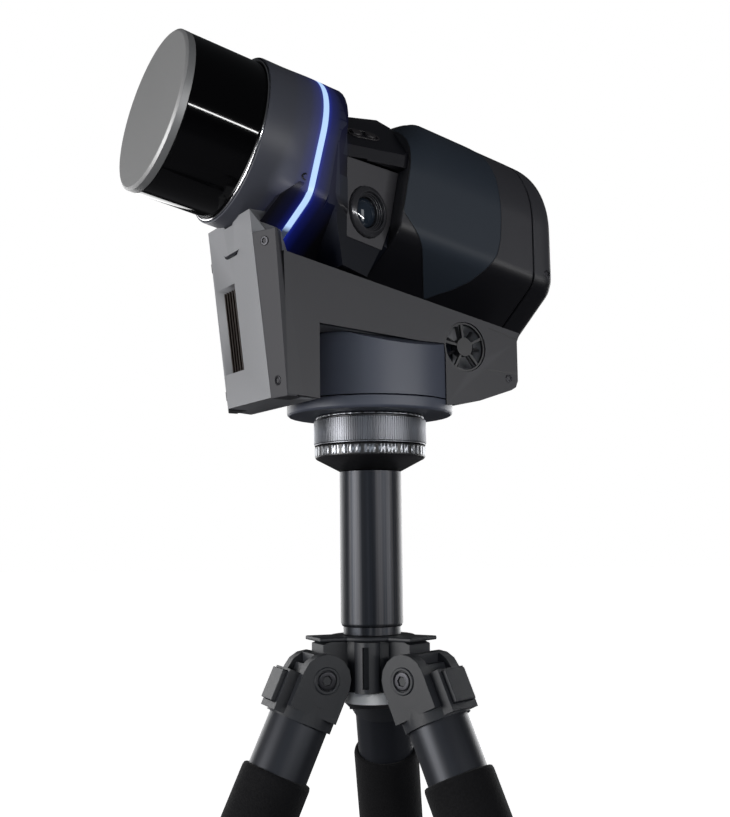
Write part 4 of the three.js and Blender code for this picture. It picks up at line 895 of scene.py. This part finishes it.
print("making the cameras")
lens = dict(u=121.1, v=-30.7, bayFrom=96.5, radius=8.5, back=-5.7, rise=-2.6, domeHeight=3.0, steps=14)
barrelProfile = [(0, -9), (14.6, -9), (14.6, 1.2), (14.2, 1.9), (11.9, 3.2), (11.2, 3.2), (10.9, 2.6), (10.9, 1.2),
                 (10.2, 1.2), (10.2, 0.2), (9.6, 0.2), (9.6, -0.8), (9.0, -0.8), (8.9, -6), (0, -6)]
r, rise, high = lens["radius"], lens["rise"], lens["domeHeight"]
a = np.linspace(0, 1, lens["steps"])[1:-1] * pi / 2
dome = [(r * math.cos(x), rise + high * math.sin(x)) for x in a]
lensProfile = [(0.0, lens["back"]), (r, lens["back"]), (r, rise)] + dome + [(0.0, rise + high)]
for side, sign in bothSides:
    flat = shell["half"] - (lens["u"] - lens["bayFrom"]) * math.tan(lookTurn)
    spot = pointIn(drum, lens["u"], sign * flat, lens["v"])
    lookOut = drum[:3, :3] @ np.array([math.sin(lookTurn), sign * math.cos(lookTurn), 0])
    where = place(spot, np.cross(drum[:3, 2], lookOut), lookOut)
    obj = turned(f"cameraBarrel_{side}", barrelProfile, where, [0] + [0.12] * 13 + [0])
    finishPiece(obj, lensRim, "head", f"camera_barrel_{side}")
    obj = turned(f"cameraLens_{side}", lensProfile, where, 0, arc=1, smooth=60)
    finishPiece(obj, glassDark, "head", f"camera_lens_{side}")

print("placing camera and lights")


def matrixOf(x, y, z, origin):
    return Matrix(np.column_stack([x, y, z, origin]).tolist() + [[0, 0, 0, 1]])


def addLight(name, width, height, power):
    data = bpy.data.lights.new(name, "AREA")
    data.shape, data.size, data.size_y, data.energy = "RECTANGLE", width, height, power
    obj = bpy.data.objects.new(name, data)
    scene.collection.objects.link(obj)
    return obj


lightAim = Vector((0, -0.02, 0.80))
softBoxes = dict(  # compass angle, height, distance, width, height of the box, power and colour
    keyLight=(214, 0.78, 1.7, 0.9, 0.9, 30, (1.0, 0.99, 0.98)),
    fillLight=(268, 0.8, 2.2, 0.8, 1.2, 5, (0.84, 0.91, 1.0)),
    sideLight=(345, 0.75, 1.9, 0.4, 1.2, 2.2, (0.95, 0.97, 1.0)),
    backLight=(62, 0.8, 1.9, 1.3, 1.0, 16, (1.0, 1.0, 1.0)),
    farLight=(135, 0.8, 1.9, 1.3, 1.0, 12, (1.0, 1.0, 1.0)))
for name, (azimuth, high, distance, width, height, power, colour) in softBoxes.items():
    a = math.radians(azimuth)
    obj = addLight(name, width, height, power)
    obj.data.color = colour
    obj.location = (distance * math.cos(a), distance * math.sin(a) - 0.05, high)
    obj.rotation_euler = (lightAim - obj.location).to_track_quat("-Z", "Y").to_euler()

# a narrow light whose mirror image runs along the dark window
streak = dict(azimuth=-33.6, height=-4.3, distance=1.3, length=1.5, width=0.035, power=9, on=(25, -44.9, -11.2))
a, h = math.radians(streak["azimuth"]), math.radians(streak["height"])
away = np.array([math.cos(h) * math.cos(a), math.cos(h) * math.sin(a), math.sin(h)])
drumLine = drum[:3, 0] / mm
along = drumLine - away * (away @ drumLine)
along /= np.linalg.norm(along)
spot = pointIn(drum, *streak["on"]) + away * streak["distance"]
obj = addLight("streakLight", streak["length"], streak["width"], streak["power"])
obj.matrix_world = matrixOf(along, np.cross(away, along), away, spot)

# white to the camera, dim to everything that it lights
world = bpy.data.worlds.new("studio")
scene.world = world
world.use_nodes = True
wn, wl = world.node_tree.nodes, world.node_tree.links
backdrop, ambient = wn["Background"], wn.new("ShaderNodeBackground")
for shade, colour, strength in ((backdrop, (1, 1, 1, 1), 1.0), (ambient, (0.9, 0.94, 1.0, 1), 0.035)):
    shade.inputs["Color"].default_value, shade.inputs["Strength"].default_value = colour, strength


def byCamera(tree, seen, unseen, out):
    # one shader for what the camera sees directly and another for the light that bounces
    path, pick = tree.nodes.new("ShaderNodeLightPath"), tree.nodes.new("ShaderNodeMixShader")
    tree.links.new(path.outputs["Is Camera Ray"], pick.inputs[0])
    tree.links.new(unseen.outputs[0], pick.inputs[1])
    tree.links.new(seen.outputs[0], pick.inputs[2])
    tree.links.new(pick.outputs[0], out.inputs["Surface"])


byCamera(world.node_tree, backdrop, ambient, wn["World Output"])

floor = dict(half=30.0, pale=((0.7, 0.7, 0.7), (0.76, 0.76, 0.76)), glow=1.0, bounce=(0.14, 0.14, 0.15, 1))
floorPale = Finish("floorPale")
floorPale.set(Base_Color=floorPale.mix(floorPale.noise(3, 2), *floor["pale"]), Roughness=0.9)
floorPale.set(Emission_Color=(1, 1, 1, 1), Emission_Strength=floor["glow"])
bounce = floorPale.nodes.new("ShaderNodeBsdfDiffuse")
bounce.inputs["Color"].default_value = floor["bounce"]
byCamera(floorPale.mat.node_tree, floorPale.shader, bounce, floorPale.nodes["Material Output"])
half = floor["half"]
corners = [(-half, -half, 0), (half, -half, 0), (half, half, 0), (-half, half, 0)]
floorObj = meshFrom("floor", corners, [(0, 1, 2, 3)], np.eye(4))
floorObj.data.materials.append(floorPale.mat)
floorObj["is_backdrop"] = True

view = dict(place=(0.0905, -0.7312, 0.6349), azimuth=98.03, pitch=7.01, roll=-0.63, lens=49.43)
a, p, roll = (math.radians(view[k]) for k in ("azimuth", "pitch", "roll"))
ahead = np.array([math.cos(p) * math.cos(a), math.cos(p) * math.sin(a), math.sin(p)])
across = np.cross(ahead, (0, 0, 1))
across /= np.linalg.norm(across)
rise = np.cross(across, ahead)
camData = bpy.data.cameras.new("camera")
camData.lens, camData.sensor_width, camData.sensor_fit = view["lens"], 36, "AUTO"
camData.clip_start, camData.clip_end = 0.02, 60
cam = bpy.data.objects.new("camera", camData)
cam.matrix_world = matrixOf(math.cos(roll) * across + math.sin(roll) * rise,
                            -math.sin(roll) * across + math.cos(roll) * rise, -ahead, view["place"])
scene.collection.objects.link(cam)
scene.camera = cam

low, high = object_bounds()
